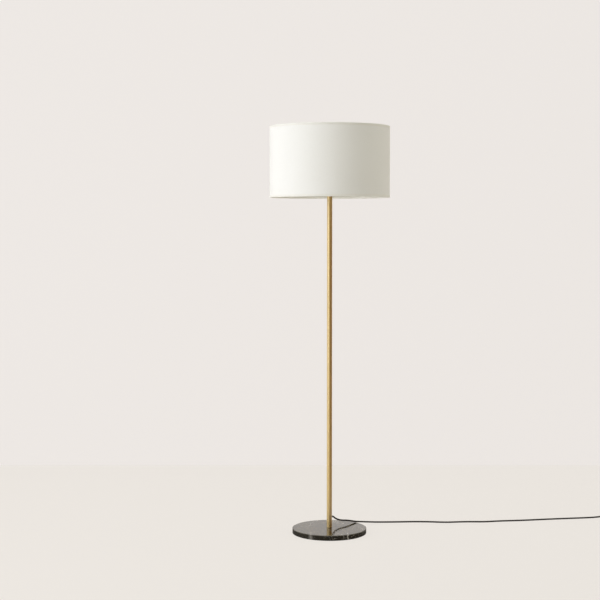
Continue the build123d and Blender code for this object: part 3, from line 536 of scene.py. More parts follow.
# %% Cord tubes
def lay_cord(name, route, steps):
    """Tube along a smooth spline, with its UV map in metres along and in turns around."""
    curve = bpy.data.curves.new(name, "CURVE")
    curve.dimensions = "3D"
    spline = curve.splines.new("NURBS")
    spline.points.add(len(route) - 1)
    for point, place in zip(spline.points, route):
        point.co = (*place, 1.0)
    spline.order_u = 3
    spline.use_endpoint_u = True
    spline.resolution_u = steps
    curve.resolution_u = steps
    curve.render_resolution_u = steps
    piece = bpy.data.objects.new(name, curve)
    bpy.context.scene.collection.objects.link(piece)
    line = bpy.data.meshes.new_from_object(piece)
    path = [tuple(point.co) for point in line.vertices]
    bpy.data.meshes.remove(line)
    curve.bevel_depth = cord_width / 2
    curve.bevel_resolution = 6
    curve.use_fill_caps = True
    choose(piece)
    bpy.ops.object.convert(target="MESH")
    travelled = [0.0]
    for here, there in zip(path, path[1:]):
        travelled.append(travelled[-1] + math.dist(here, there))
    for corner in piece.data.uv_layers["UVMap"].data:
        at = corner.uv[0] * (len(path) - 1)
        corner.uv[0] = float(np.interp(at, range(len(path)), travelled))
    settle(piece, name, "lamp", "cord_textile", smooth=60.0)
    print(name, "is", round(travelled[-1], 3), "m long")
    return piece, path


cord_to_switch, switch_path = lay_cord("cord_to_switch", first_route, 12)
cord_to_plug, plug_path = lay_cord("cord_to_plug", second_route, 6)
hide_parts("cord")
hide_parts("cord_lead", "cord_coil", "cord_tail")

# %% [markdown]
# The tie
# A short strap of hook and loop tape holds the coil. It goes once round the
# bundle and closes on itself. A plane of the size of the bundle's section is
# rounded at its corners and its outline pulled out to the strap's width. Then
# it gets its thickness, and its free end lies on top as a second layer. Webbing
# shows its weave, and a weave needs a flat map of the cloth: a small helper
# writes one in metres, from each point's place along and across the strap.

# %% Coil tie
strap_width = 10.0 * MM
strap_thickness = 0.8 * MM
strap_corner = 2.6 * MM
strap_strips = 5
tie_low, tie_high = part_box("coil_tie")
tie_size = tie_high - tie_low
tie_middle = (tie_low + tie_high) / 2


def place_on_strap(point, face):
    """The strap's length runs up its sides and along its top and bottom."""
    along = point.z if abs(face.normal.x) > abs(face.normal.z) else point.x
    return (along, point.y)


def make_tie():
    """Closed loop of strap round the bundle."""
    strap = sized_plane(tie_middle, tie_size.x - strap_thickness, tie_size.z - strap_thickness,
                        turn=(quarter_turn, 0, 0))
    edit(strap)
    bpy.ops.mesh.delete(type="ONLY_FACE")
    bpy.ops.mesh.select_all(action="SELECT")
    bpy.ops.transform.translate(value=(0, -strap_width / 2, 0))
    bpy.ops.mesh.bevel(offset=strap_corner, segments=6, affect="VERTICES")
    bpy.ops.mesh.select_all(action="SELECT")
    for strip in range(strap_strips):
        step = (0, strap_width / strap_strips, 0)
        bpy.ops.mesh.extrude_edges_move(TRANSFORM_OT_translate={"value": step})
    face_outwards()
    modify(strap, "SOLIDIFY", thickness=strap_thickness, offset=0.0)
    modify(strap, "BEVEL", width=0.2 * MM, segments=2, limit_method="ANGLE", angle_limit=1.0)
    map_cloth(strap, place_on_strap)
    return strap


tongue_length = tie_size.x * 0.62
tongue_width = strap_width - 0.6 * MM
tongue_thickness = 0.6 * MM
tongue_level = tie_high.z + 0.25 * MM
tip_start = tie_middle.x - 0.42 * tongue_length
tip_lift = 0.5 * MM


def make_tongue():
    """Free end of the strap, laid over its upper side and a little proud at the tip."""
    tongue = sized_plane((tie_middle.x, tie_middle.y, tongue_level), tongue_length, tongue_width)
    edit(tongue)
    bpy.ops.mesh.subdivide(number_cuts=5)
    pick(tongue, "vertices", lambda spot: spot.x < tip_start)
    bpy.ops.transform.translate(value=(0, 0, tip_lift), use_proportional_edit=True,
                                proportional_size=3.0 * MM, proportional_edit_falloff="SMOOTH")
    face_outwards()
    modify(tongue, "SOLIDIFY", thickness=tongue_thickness, offset=0.0)
    modify(tongue, "BEVEL", width=0.15 * MM, segments=2, limit_method="ANGLE", angle_limit=1.0)
    map_cloth(tongue, place_on_strap)
    return tongue


tie = settle(make_tie(), "cord_tie", "lamp", "tie_strap")
tongue = settle(make_tongue(), "cord_tie_end", "lamp", "tie_strap")
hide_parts("coil_tie")

# %% [markdown]
# The cords
# The two free cords are the tubes above: one from the pole to the foot switch,
# and one from the switch to the plug.

# %% Cords
print("two free cords")

# %% [markdown]
# The cloth of the shade
# A drum shade is cotton bonded to a stiff liner, cut as one long strip, rolled
# round two wire rings and lapped over itself at the back. So it starts as a
# flat grid of the strip's real size, whose UV map is its weave, and it is
# rolled up in code: each point's distance along the strip becomes an angle.
# The last centimetre climbs over the first one, which leaves the small step of
# a real seam. A shallow waviness keeps the light on it from being too perfect.

# %% Cloth strip
cloth_radius = 224.58 * MM
cloth_thickness = 0.5 * MM
cloth_levels = (1.2708, 1.5342)
lap = 12.0 * MM
lap_step = 0.53 * MM
lap_ramp = 14.0 * MM
seam_side = quarter_turn
cloth_cells = (264, 36)
waviness = 0.22 * MM
waves = ((3, 9, 0.0), (7, -14, 1.3))
drum_middle = (cloth_levels[0] + cloth_levels[1]) / 2
cloth_height = cloth_levels[1] - cloth_levels[0]
cloth_length = 2 * math.pi * cloth_radius + lap


def lap_lift(past_seam):
    """How far a layer stands off where it lies over the start of the strip."""
    share = (past_seam + lap_ramp) / lap_ramp
    share = min(max(share, 0.0), 1.0)
    return lap_step * share * share * (3 - 2 * share)


def stand_off(turn, level):
    """Share of the waviness at a place: none at the hems, which hold the cloth."""
    free = math.cos(math.pi * level / cloth_height) ** 0.5 if abs(level) < cloth_height / 2 else 0
    swell = sum(math.sin(count * turn + lean * level + start) for count, lean, start in waves)
    return free * (1 + 0.5 * swell) / 2


def make_cloth():
    """Flat strip of cloth, rolled round the frame and given its thickness."""
    fresh()
    columns, rows = cloth_cells
    bpy.ops.mesh.primitive_grid_add(x_subdivisions=columns, y_subdivisions=rows, size=1)
    cloth = bpy.context.object
    cloth.scale = (cloth_length, cloth_height, 1)
    bpy.ops.object.transform_apply(location=True, rotation=True, scale=True)
    for corner in cloth.data.uv_layers[0].data:
        corner.uv = (corner.uv[0] * cloth_length, corner.uv[1] * cloth_height)
    for point in cloth.data.vertices:
        along = point.co.x + cloth_length / 2
        level = point.co.y
        past_seam = along - (cloth_length - lap)
        turn = along / cloth_radius
        radius = cloth_radius + lap_lift(past_seam) + waviness * stand_off(turn, level)
        angle = seam_side + turn
        point.co = (radius * math.cos(angle), radius * math.sin(angle), drum_middle + level)
    edit(cloth)
    face_outwards()
    bpy.ops.object.mode_set(mode="OBJECT")
    face_away_from_pole(cloth, cloth.data.polygons[0])
    modify(cloth, "SOLIDIFY", thickness=cloth_thickness, offset=-1.0)
    return cloth


cloth = settle(make_cloth(), "shade_cloth", "shade", "shade_textile", smooth=60.0)
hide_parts("shade_fabric")
print("strip, m:", round(cloth_length, 3), "by", round(cloth_height, 3))

# %% [markdown]
# The hems
# A strip of cotton tape is folded over each wire ring and hides the cut edges
# of cloth and liner. Its section is a narrow arch: a plane of the hem's width
# and depth loses its face and its open side, its two upper corners are rounded,
# the outer one tightly and the inner one round the wire, and the arch is spun
# about the pole. Where the cloth laps over itself, the tape's outer side steps
# out with it. The lower hem is a mirrored copy.

# %% Hem tape
shade_top = 1.535
tape_thickness = 0.4 * MM
tape_outer = 225.0 * MM - tape_thickness / 2
tape_inner = 220.12 * MM + tape_thickness / 2
tape_depth = 8.0 * MM
tape_top = shade_top - tape_thickness / 2
tape_bottom = shade_top - tape_depth
outer_fold = 0.5 * MM
inner_fold = 1.7 * MM
outer_layer = 1.2 * MM
near = 0.01 * MM
hem_steps = 240


def place_on_hem(point, face):
    """Round the rim, and up the outside, over the fold and down the inside."""
    turn = math.atan2(point.y, point.x)
    face_turn = math.atan2(face.center.y, face.center.x)
    turn += 2 * math.pi * round((face_turn - turn) / (2 * math.pi))
    radius = point.xy.length
    outside = radius > (tape_outer + tape_inner) / 2
    climbed = point.z if outside else 2 * tape_top - point.z
    return (turn * tape_outer, climbed + tape_outer - radius)


def make_hem():
    """Arch of tape, spun round the upper rim and given its thickness."""
    middle = ((tape_outer + tape_inner) / 2, 0, (tape_top + tape_bottom) / 2)
    hem = sized_plane(middle, tape_outer - tape_inner, tape_top - tape_bottom,
                      turn=(quarter_turn, 0, 0))
    edit(hem)
    bpy.ops.mesh.delete(type="ONLY_FACE")
    pick(hem, "edges", lambda place: place.z < tape_bottom + near)
    bpy.ops.mesh.delete(type="EDGE")
    for radius, side in ((outer_fold, tape_outer), (inner_fold, tape_inner)):
        pick(hem, "vertices", lambda place: place.z > tape_top - near and abs(place.x - side) < near)
        bpy.ops.mesh.bevel(offset=radius, segments=6, affect="VERTICES")
    bpy.ops.mesh.select_mode(type="VERT")
    bpy.ops.mesh.select_all(action="SELECT")
    bpy.ops.mesh.spin(steps=hem_steps, angle=2 * math.pi, center=(0, 0, 0), axis=(0, 0, 1))
    bpy.ops.mesh.select_all(action="SELECT")
    bpy.ops.mesh.remove_doubles(threshold=near / 10)
    face_outwards()
    bpy.ops.object.mode_set(mode="OBJECT")
    face_away_from_pole(hem, max(hem.data.polygons, key=lambda face: face.center.xy.length))
    modify(hem, "SOLIDIFY", thickness=tape_thickness, offset=0.0)
    modify(hem, "BEVEL", width=0.12 * MM, segments=2, limit_method="ANGLE", angle_limit=1.0)
    for point in hem.data.vertices:
        radius = point.co.xy.length
        if radius > tape_outer - outer_layer:
            turn = (math.atan2(point.co.y, point.co.x) - seam_side) % (2 * math.pi)
            along = turn * cloth_radius
            over = lap_lift(along - 2 * math.pi * cloth_radius) if along > lap else lap_step
            point.co.xy *= (radius + over) / radius
    map_cloth(hem, place_on_hem)
    return hem


def mirrored(piece, level):
    """Copy of a piece with its own mesh, mirrored at a level."""
    choose(piece)
    bpy.ops.object.duplicate()
    copy = bpy.context.object
    for point in copy.data.vertices:
        point.co.z = 2 * level - point.co.z
    copy.data.flip_normals()
    return copy


hem_top = settle(make_hem(), "hem_top", "shade", "hem_tape")
hem_bottom = settle(mirrored(hem_top, drum_middle), "hem_bottom", "shade", "hem_tape")
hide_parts("shade_trim_top")
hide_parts("shade_trim_bottom")

# %% [markdown]
# The felt pad
# A disc of wool felt under the marble keeps the floor from being scratched. Cut
# felt has no sharp edge, so a thin cylinder is rounded at its rims, and its rim
# is roughened by a fraction of a millimetre.

# %% Felt
felt_radius = 136.0 * MM
felt_thickness = 1.5 * MM
felt_points = 240
felt_rings = (3.0 * MM, 30.0 * MM, 60.0 * MM)
cut_edge = 1.0 * MM
roughness_waves = ((41, 0.0), (67, 1.0), (113, 2.0))
roughness_step = 0.05 * MM


def make_felt():
    """Thin disc with rounded rims and a slightly uneven cut edge."""
    fresh()
    middle = (0, 0, felt_thickness / 2)
    bpy.ops.mesh.primitive_cylinder_add(
        vertices=felt_points, radius=felt_radius, depth=felt_thickness, location=middle
    )
    felt = bpy.context.object
    edit(felt)
    pick(felt, "polygons", lambda place: place.xy.length < near)
    for width in felt_rings:
        bpy.ops.mesh.inset(thickness=width)
    modify(felt, "BEVEL", width=0.45 * MM, segments=3, limit_method="ANGLE", angle_limit=1.0)
    for point in felt.data.vertices:
        radius = point.co.xy.length
        if radius > felt_radius - cut_edge:
            turn = math.atan2(point.co.y, point.co.x)
            rough = sum(math.sin(count * turn + start) - 1 for count, start in roughness_waves)
            point.co.xy *= 1 + rough * roughness_step / radius
    return felt


felt = settle(make_felt(), "felt_pad", "lamp", "felt", smooth=50.0)
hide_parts("base_felt")

# %% [markdown]
# The return spring
# A small steel spring under the foot button pushes it up again. Nobody sees it
# until the button goes down: a stiff copy would then come out through the top.
# So it is made here, as a piece with its own mesh. A
# spring is a round wire that turns about an axis and climbs, and the Screw
# modifier does just that with a small circle. Its two ends are filled after.

# %% Switch spring
spring_radius = 4.6 * MM
spring_wire = 0.8 * MM
spring_turns = 5
spring_low, spring_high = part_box("switch_spring")
spring_height = spring_high.z - spring_low.z


def make_spring():
    """Coil of round wire, closed at both ends and set under the button."""
    fresh()
    start = (spring_radius, 0, spring_low.z + spring_wire / 2)
    bpy.ops.mesh.primitive_circle_add(
        vertices=12, radius=spring_wire / 2, location=start, rotation=(quarter_turn, 0, 0)
    )
    spring = bpy.context.object
    bpy.ops.object.transform_apply(location=True, rotation=True, scale=True)
    pitch = (spring_height - spring_wire) / spring_turns
    modify(spring, "SCREW", axis="Z", angle=2 * math.pi, screw_offset=pitch,
           iterations=spring_turns, steps=32, render_steps=32)
    edit(spring)
    bpy.ops.mesh.fill_holes(sides=0)
    face_outwards()
    bpy.ops.object.mode_set(mode="OBJECT")
    spring.location = (*switch_place, 0)
    spring.rotation_euler.z = switch_turn
    return spring


spring = settle(make_spring(), "return_spring", "lamp", "steel", smooth=50.0)
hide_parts("switch_spring")
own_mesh(spring)
print("spring, mm:", round(spring_height / MM, 2), "high at rest")

# %% [markdown]
# Finishes
# Every finish is one Principled shader, fed by the shared effects. A number
# that is the same all over is set on the shader itself. Only what changes over
# the surface comes through nodes: a colour that drifts a little, a roughness
# that follows the wear, and a bump at the true scale of the grain. Patterns are
# read from the piece's own place in metres, or from its UV map where the
# pattern has to follow a cloth or a cord.

# %% Finish helpers
finishes = {}


def start_finish(name, source="Object", **plain):
    """Material with a Principled shader, and the coordinates that its patterns read."""
    material = bpy.data.materials.new(name)
    material.use_nodes = True
    tree = material.node_tree
    tree.nodes.clear()
    inputs = {label.replace("_", " "): value for label, value in plain.items()}
    shader = add(tree, "BsdfPrincipled", inputs)
    add(tree, "OutputMaterial", {"Surface": shader.outputs[0]})
    finishes[name] = material
    return tree, shader, add(tree, "TexCoord").outputs[source]


def blend_colour(tree, share, one, other):
    """Colour between two colours, each given as a triple or a socket."""
    inputs = {0: share}
    for slot, colour in ((6, one), (7, other)):
        inputs[slot] = colour if isinstance(colour, bpy.types.NodeSocket) else (*colour, 1.0)
    return add(tree, "Mix", inputs, data_type="RGBA").outputs[2]


def spread(tree, value, low, high, start=0.25, end=0.75):
    """Map a noise to a range of the finish."""
    inputs = {"Value": value, "From Min": start, "From Max": end, "To Min": low, "To Max": high}
    return add(tree, "MapRange", inputs).outputs[0]


def emboss(tree, shader, height, depth):
    """Bump of a real depth in metres."""
    bump = add(tree, "Bump", {"Height": height, "Distance": depth, "Strength": 1.0})
    tree.links.new(bump.outputs[0], shader.inputs["Normal"])


def paint(tree, shader, colour, roughness):
    """Link what changes over the surface to the shader."""
    tree.links.new(colour, shader.inputs["Base Color"])
    tree.links.new(roughness, shader.inputs["Roughness"])


print("finish helpers ready")

# %% [markdown]
# Moulded, cast and glazed pieces
# Plastic, rubber, porcelain and enamel differ in colour, gloss and grain, and
# hardly in anything else. One function makes them all, with a fine grain for
# the surface of the mould and broad patches where handling has polished it.

# %% Moulded finishes
def moulded(name, colour, worn, gloss, grain_size, depth, **plain):
    """Finish from its colour new and worn, its range of roughness, and its grain."""
    tree, shader, place = start_finish(name, **plain)
    noise = place_group(tree, grain, {"Vector": place, "Scale": 1.0 / grain_size})
    share = spread(tree, noise["Patches"], 0.0, 1.0, 0.3, 0.7)
    broad = spread(tree, noise["Patches"], *gloss)
    rough = calc(tree, "ADD", broad, spread(tree, noise["Grain"], -0.03, 0.03))
    paint(tree, shader, blend_colour(tree, share, colour, worn), rough)
    emboss(tree, shader, noise["Grain"], depth)


moulded("rubber", (0.018, 0.018, 0.019), (0.032, 0.031, 0.031), (0.52, 0.68), 0.7 * MM, 0.03 * MM)
moulded("black_phenolic", (0.010, 0.009, 0.008), (0.019, 0.017, 0.015), (0.22, 0.36),
        1.2 * MM, 0.01 * MM, Coat_Weight=0.3, Coat_Roughness=0.12)
moulded("switch_plastic", (0.022, 0.021, 0.020), (0.034, 0.033, 0.031), (0.34, 0.50),
        0.5 * MM, 0.02 * MM)
moulded("plug_plastic", (0.026, 0.026, 0.027), (0.038, 0.037, 0.036), (0.44, 0.58),
        0.5 * MM, 0.025 * MM)
moulded("porcelain", (0.80, 0.78, 0.73), (0.74, 0.71, 0.65), (0.10, 0.22),
        2.0 * MM, 0.01 * MM, Coat_Weight=0.5, Coat_Roughness=0.05)
moulded("bulb_plastic", (0.80, 0.80, 0.78), (0.76, 0.75, 0.72), (0.28, 0.40), 0.8 * MM, 0.01 * MM)
moulded("black_glass", (0.008, 0.007, 0.010), (0.020, 0.016, 0.022), (0.05, 0.12), 2.0 * MM, 0.004 * MM)
moulded("opal_diffuser", (0.86, 0.86, 0.84), (0.82, 0.82, 0.79), (0.30, 0.40),
        1.5 * MM, 0.004 * MM, Subsurface_Weight=0.2, Subsurface_Scale=4.0 * MM)
moulded("led_aluminium", (0.78, 0.79, 0.78), (0.68, 0.69, 0.69), (0.30, 0.45), 0.8 * MM, 0.006 * MM)
moulded("white_wire", (0.76, 0.75, 0.72), (0.68, 0.66, 0.62), (0.28, 0.44),
        1.6 * MM, 0.02 * MM, Coat_Weight=0.2, Coat_Roughness=0.2)
# The liner is a cream colour of its own, made darker than the cloth as painted shade on the inside of
# the drum.
moulded("shade_liner", (0.74, 0.72, 0.64), (0.69, 0.67, 0.59), (0.50, 0.62), 2.5 * MM, 0.015 * MM)
print("moulded finishes:", len(finishes))

# %% Wires and circuit board
brown_wire = (0.075, 0.030, 0.015)
blue_wire = (0.012, 0.045, 0.15)
board_lacquer = (0.010, 0.070, 0.035)
board_track = (0.035, 0.16, 0.07)


def make_wire_finish():
    """Brown and blue plastic: the side of the pole that a wire lies on gives its colour."""
    tree, shader, place = start_finish("wire_insulation")
    side = calc(tree, "GREATER_THAN", add(tree, "SeparateXYZ", {0: place}).outputs[0], 0.0)
    noise = place_group(tree, grain, {"Vector": place, "Scale": 1500.0})
    colour = blend_colour(tree, side, brown_wire, blue_wire)
    paint(tree, shader, colour, spread(tree, noise["Patches"], 0.32, 0.46))
    emboss(tree, shader, noise["Grain"], 0.01 * MM)


def make_board_finish():
    """Green lacquer over paler copper tracks that run across the board."""
    tree, shader, place = start_finish("circuit_board", Coat_Weight=0.4, Coat_Roughness=0.15)
    lines = place_group(tree, brushing, {"Vector": place, "Stretch": (1100.0, 1100.0, 160.0)})
    track = spread(tree, lines["Lines"], 0.0, 1.0, 0.52, 0.56)
    colour = blend_colour(tree, track, board_lacquer, board_track)
    paint(tree, shader, colour, spread(tree, lines["Bands"], 0.25, 0.40))
    emboss(tree, shader, track, 0.03 * MM)


make_wire_finish()
make_board_finish()
print("wire and board finishes made")

# %% [markdown]
# Metals
# The brass of the pole was brushed along its length and lacquered: the lines
# draw each reflection out into a long soft streak, and the clear lacquer adds a
# thin, colourless shine over the yellow metal. The same brushing, drawn out
# round the axis instead, is the mark of the lathe on the small turned pieces.
# How far the lines are drawn out is given as how many fit in a metre each way.

# %% Metal finishes
def metal(name, colour, worn, gloss, stretch, depth, **plain):
    """Finish from its colour new and worn, its range of roughness, and its brushing."""
    tree, shader, place = start_finish(name, Metallic=1.0, **plain)
    lines = place_group(tree, brushing, {"Vector": place, "Stretch": stretch})
    share = spread(tree, lines["Bands"], 0.0, 1.0, 0.35, 0.7)
    broad = spread(tree, lines["Bands"], *gloss)
    rough = calc(tree, "ADD", broad, spread(tree, lines["Lines"], -0.04, 0.05))
    paint(tree, shader, blend_colour(tree, share, colour, worn), rough)
    emboss(tree, shader, lines["Lines"], depth)


metal("satin_brass", (0.64, 0.475, 0.185), (0.60, 0.435, 0.155), (0.58, 0.66),
      (2600.0, 2600.0, 14.0), 0.006 * MM, Coat_Weight=1.0, Coat_Roughness=0.32, Coat_IOR=1.8)
metal("turned_brass", (0.78, 0.56, 0.26), (0.68, 0.46, 0.20), (0.26, 0.38),
      (300.0, 300.0, 3200.0), 0.008 * MM)
metal("steel", (0.60, 0.61, 0.62), (0.50, 0.50, 0.50), (0.28, 0.42),
      (700.0, 700.0, 1500.0), 0.008 * MM)
metal("nickel", (0.68, 0.65, 0.60), (0.60, 0.57, 0.52), (0.16, 0.28),
      (900.0, 900.0, 1400.0), 0.005 * MM)
print("metal finishes made")

# %% [markdown]
# Black marble
# The base is a black marble with thin white veins. Real veins are cracks that
# filled with calcite: long, crooked, of uneven width, and often broken off. The
# borders between the cells of a cell texture make such a crack network once a
# noise has bent them. A second noise hides part of the network, so that it
# doesn't look like a net, and a finer network adds hairlines. Two single veins
# run out over the front rim, one a pale patch and the other a pale line.
# Polish is the other half of the look: seen this low, the top mirrors the wall
# more than it shows its own black, and brownish mottles come through. That
# polish is the shader's clear coat. The side was only ground, so the coat stops
# at the rim, and the side is duller. The mottles are painted at full strength on
# the top and only faintly on the side: the top is painted lighter and the side
# darker, as painted light and shade. A pale band of painted highlight runs along
# the sharp edge between the two.

# %% Veins
vein_warp = 0.035
large_veins = 9.0
fine_veins = 34.0


def bent_place(tree, place, scale, strength):
    """The place, pushed sideways by a noise, so that straight lines turn crooked."""
    noise = add(tree, "TexNoise", {"Vector": place, "Scale": scale, "Detail": 4.0, "Roughness": 0.55})
    centred = add(tree, "VectorMath", {0: noise.outputs[1], 1: (0.5, 0.5, 0.5)}, operation="SUBTRACT")
    push = add(tree, "VectorMath", {0: centred.outputs[0], "Scale": strength}, operation="SCALE")
    return add(tree, "VectorMath", {0: place, 1: push.outputs[0]}, operation="ADD").outputs[0]


def vein_net(tree, place, scale, warp_scale, width, seed):
    """Mask of a net of crooked lines: 1 on a vein and 0 between them."""
    bent = bent_place(tree, place, warp_scale, vein_warp * large_veins / scale * 2)
    moved = add(tree, "VectorMath", {0: bent, 1: (seed, seed * 0.7, seed * 0.3)}, operation="ADD")
    inputs = {"Vector": moved.outputs[0], "Scale": scale}
    cells = add(tree, "TexVoronoi", inputs, feature="DISTANCE_TO_EDGE")
    return spread(tree, cells.outputs[0], 1.0, 0.0, 0.0, width * scale)


def broken(tree, place, net, scale, most, start, end):
    """The same net, with its veins broken off where a noise is low."""
    noise = add(tree, "TexNoise", {"Vector": place, "Scale": scale, "Detail": 3.0}).outputs[0]
    return calc(tree, "MULTIPLY", net, spread(tree, noise, 0.0, most, start, end))


def rim_vein(tree, place, at, width, strength):
    """Mask of one vein that runs out over the front rim, and fades towards the pole."""
    x, y, _ = add(tree, "SeparateXYZ", {0: bent_place(tree, place, 60.0, 0.016)}).outputs
    aside = calc(tree, "ABSOLUTE", calc(tree, "SUBTRACT", x, at))
    line = spread(tree, aside, 1.0, 0.0, 0.0, width)
    front = spread(tree, y, 1.0, 0.0, -120.0 * MM, -60.0 * MM)
    return calc(tree, "MULTIPLY", calc(tree, "MULTIPLY", line, front), strength)


print("vein helpers ready")

# %% Marble finish
rim_start = 138.2 * MM
rim_end = 139.6 * MM
arris_start = 17.5 * MM
arris_end = 19.5 * MM
pale_patch_at = -72.0 * MM
pale_line_at = 66.0 * MM
marble_black = (0.012, 0.010, 0.006)
marble_brown = (0.125, 0.090, 0.034)
calcite = (0.62, 0.59, 0.55)
painted_edge_highlight = (0.62, 0.58, 0.52)
polish = 0.41


def make_marble():
    """Black ground, mottled brown and painted lighter on the top, with veins, a painted highlight along
    the edge, and polish only on the top.
    """
    tree, shader, place = start_finish("marble", IOR=1.3, Coat_IOR=1.3, Coat_Roughness=0.1)
    x, y, z = add(tree, "SeparateXYZ", {0: place}).outputs
    flat = add(tree, "CombineXYZ", {0: x, 1: y}).outputs[0]
    radius = add(tree, "VectorMath", {0: flat}, operation="LENGTH").outputs["Value"]
    side = spread(tree, radius, 0.0, 1.0, rim_start, rim_end)

    large = vein_net(tree, place, large_veins, 14.0, 1.1 * MM, 3.17)
    fine = vein_net(tree, place, fine_veins, 40.0, 0.35 * MM, 8.03)
    large = broken(tree, place, large, 11.0, 0.85, 0.46, 0.58)
    fine = broken(tree, place, fine, 23.0, 0.5, 0.46, 0.60)
    net = calc(tree, "MAXIMUM", large, fine)
    pale_patch = rim_vein(tree, place, pale_patch_at, 9.0 * MM, 0.32)
    pale_line = rim_vein(tree, place, pale_line_at, 3.2 * MM, 0.75)
    veins = calc(tree, "MAXIMUM", net, calc(tree, "MAXIMUM", pale_patch, pale_line))

    clouds = place_group(tree, grain, {"Vector": place, "Scale": 900.0})
    blotches = {"Vector": place, "Scale": 90.0, "Detail": 5.0, "Roughness": 0.7}
    mottles_and_top_light = spread(tree, add(tree, "TexNoise", blotches).outputs[0], 0.0, 1.0, 0.44, 0.64)
    # Painted light and shade: the mottles keep full strength on the top and a tenth on the side, so the
    # top is painted lighter and the side darker.
    mottles_and_top_light = calc(tree, "MULTIPLY", mottles_and_top_light, spread(tree, side, 1.0, 0.1, 0.0, 1.0))
    ground = blend_colour(tree, mottles_and_top_light, marble_black, marble_brown)
    colour = blend_colour(tree, veins, ground, calcite)
    # Painted highlight: a pale band along the upper edge of the side, where the top meets it.
    arris = spread(tree, z, 0.0, 0.22, arris_start, arris_end)
    colour = blend_colour(tree, calc(tree, "MULTIPLY", side, arris), colour, painted_edge_highlight)

    top_gloss = spread(tree, clouds["Grain"], 0.09, 0.14)
    paint(tree, shader, colour, calc(tree, "ADD", top_gloss, calc(tree, "MULTIPLY", side, 0.6)))
    tree.links.new(spread(tree, side, polish, 0.0, 0.0, 1.0), shader.inputs["Coat Weight"])
    emboss(tree, shader, calc(tree, "ADD", clouds["Grain"], veins), 0.004 * MM)


make_marble()
print("marble made")

# %% [markdown]
# Woven finishes
# The cloth of the shade is a plain weave of slubby yarns: warp and weft each
# about half a millimetre apart, with yarns that swell and thin along their
# length. The hem tape is the same weave, finer, and the strap is coarser. The
# cord's jacket is braided, which is a weave turned by 45 degrees, so its UV map
# is turned in the material before it reaches the same node group. The stretches
# of cord inside the pole and the switch are solids without a UV map, so their
# braid is read from their place instead. One strand in eight is a paler marker.
# Cloth has a faint sheen, because loose fibres catch the light at its edges.

# %% Weave finishes
def woven(name, pitch, colour, other_tone, shadow, roughness, depth, **plain):
    """Cloth on a UV map in metres, with one thread every pitch."""
    tree, shader, place = start_finish(name, "UV", **plain)
    threads = add(tree, "VectorMath", {0: place, "Scale": 1.0 / pitch}, operation="SCALE").outputs[0]
    cloth_weave = place_group(tree, weave, {"Threads": threads, "Slub": 0.3})
    share = spread(tree, cloth_weave["Tone"], 0.0, 1.0, 0.3, 0.7)
    base = blend_colour(tree, share, colour, other_tone)
    hollow = spread(tree, cloth_weave["Height"], 1.0, 0.0, 0.0, 0.45)
    rough = spread(tree, cloth_weave["Tone"], roughness - 0.05, roughness + 0.05)
    paint(tree, shader, blend_colour(tree, hollow, base, shadow), rough)
    emboss(tree, shader, cloth_weave["Height"], depth)


woven("shade_textile", 0.55 * MM, (0.885, 0.88, 0.86), (0.85, 0.845, 0.82), (0.77, 0.76, 0.735),
      0.85, 0.06 * MM, Sheen_Weight=0.15, Sheen_Roughness=0.5)
woven("hem_tape", 0.40 * MM, (0.86, 0.85, 0.81), (0.82, 0.81, 0.76), (0.73, 0.72, 0.67),
      0.85, 0.05 * MM, Sheen_Weight=0.1, Sheen_Roughness=0.5)
woven("tie_strap", 0.70 * MM, (0.030, 0.030, 0.032), (0.045, 0.044, 0.045), (0.012, 0.012, 0.013),
      0.9, 0.15 * MM, Sheen_Weight=0.3, Sheen_Roughness=0.4)
print("woven finishes made")

# %% Braid finishes
cord_dark = (0.011, 0.009, 0.008)
cord_light = (0.028, 0.022, 0.019)
cord_marker = (0.08, 0.066, 0.056)
cord_shadow = (0.008, 0.007, 0.006)


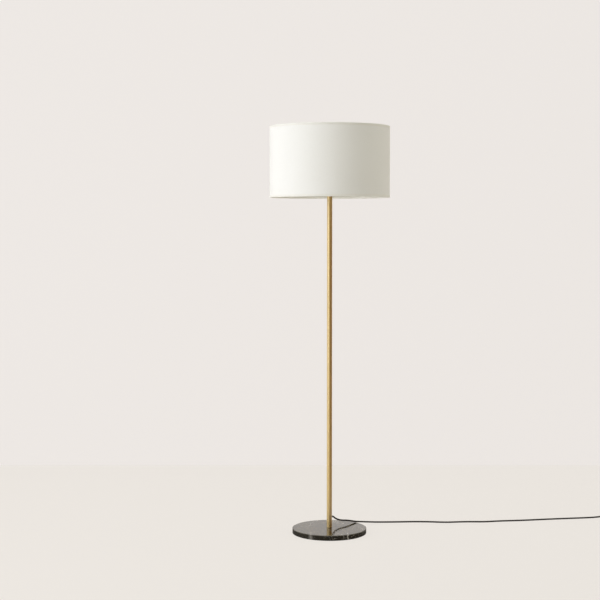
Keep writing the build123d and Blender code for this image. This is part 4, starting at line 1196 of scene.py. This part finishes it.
def braided(name, source, around, pitch):
    """Braid on a cord, from its place along in metres and around in turns."""
    tree, shader, place = start_finish(name, source, Sheen_Weight=0.12, Sheen_Roughness=0.4)
    along, across, _ = add(tree, "SeparateXYZ", {0: place}).outputs
    along = calc(tree, "DIVIDE", along, pitch)
    across = calc(tree, "MULTIPLY", across, around)
    right = calc(tree, "ADD", along, across)
    left = calc(tree, "SUBTRACT", along, across)
    turned = add(tree, "CombineXYZ", {0: right, 1: left}).outputs[0]
    jacket = place_group(tree, weave, {"Threads": turned, "Slub": 0.4})
    strand = calc(tree, "FLOOR", right)
    marked = calc(tree, "LESS_THAN", calc(tree, "FRACT", calc(tree, "DIVIDE", strand, 8.0)), 0.14)
    share = spread(tree, jacket["Tone"], 0.0, 1.0, 0.3, 0.7)
    base = blend_colour(tree, share, cord_dark, cord_light)
    base = blend_colour(tree, calc(tree, "MULTIPLY", marked, 0.6), base, cord_marker)
    hollow = spread(tree, jacket["Height"], 1.0, 0.0, 0.0, 0.45)
    rough = spread(tree, jacket["Tone"], 0.72, 0.88)
    paint(tree, shader, blend_colour(tree, hollow, base, cord_shadow), rough)
    emboss(tree, shader, jacket["Height"], 0.18 * MM)


braided("cord_textile", "UV", 12, 0.85 * MM)
braided("cord_textile_inside", "Object", 700.0, 0.85 * MM)
print("braid finishes made")

# %% Felt finish
felt_dark = (0.014, 0.014, 0.014)
felt_light = (0.040, 0.039, 0.038)


def make_felt_finish():
    """Pressed wool: matt, with short fibres lying every way."""
    tree, shader, place = start_finish("felt", Sheen_Weight=0.4, Sheen_Roughness=0.5)
    noise = place_group(tree, grain, {"Vector": place, "Scale": 2400.0})
    fibres = place_group(tree, brushing, {"Vector": place, "Stretch": (2200.0, 420.0, 900.0)})
    half_lines = calc(tree, "MULTIPLY", fibres["Lines"], 0.5)
    wool = calc(tree, "MULTIPLY_ADD", noise["Grain"], 0.5, half_lines)
    colour = blend_colour(tree, spread(tree, wool, 0.0, 1.0), felt_dark, felt_light)
    paint(tree, shader, colour, spread(tree, noise["Patches"], 0.86, 0.96))
    emboss(tree, shader, wool, 0.15 * MM)


make_felt_finish()
print("finishes in all:", len(finishes))

# %% [markdown]
# Handing out the finishes
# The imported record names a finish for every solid, such as satin brass for the
# pole. The new pieces name theirs as they are made. So one loop can hand out
# all of them, by putting the material into the object's own slots.

# %% Hand out
def dress(piece, finish):
    """Put one finish in all of a piece's material slots."""
    if not piece.material_slots:
        piece.data.materials.append(finishes[finish])
    for place in piece.material_slots:
        place.material = finishes[finish]


inside_cords = ("pole_cord", "switch_cord_ends")
for subpart in frame["record"]["subparts"]:
    node = subpart["node"]
    finish = "cord_textile_inside" if node in inside_cords else subpart["material_slot"]
    dress(frame["nodes"][node], finish)
for piece, finish in new_pieces.items():
    dress(bpy.data.objects[piece], finish)
print("dressed", len(frame["nodes"]), "solids and", len(new_pieces), "new pieces")
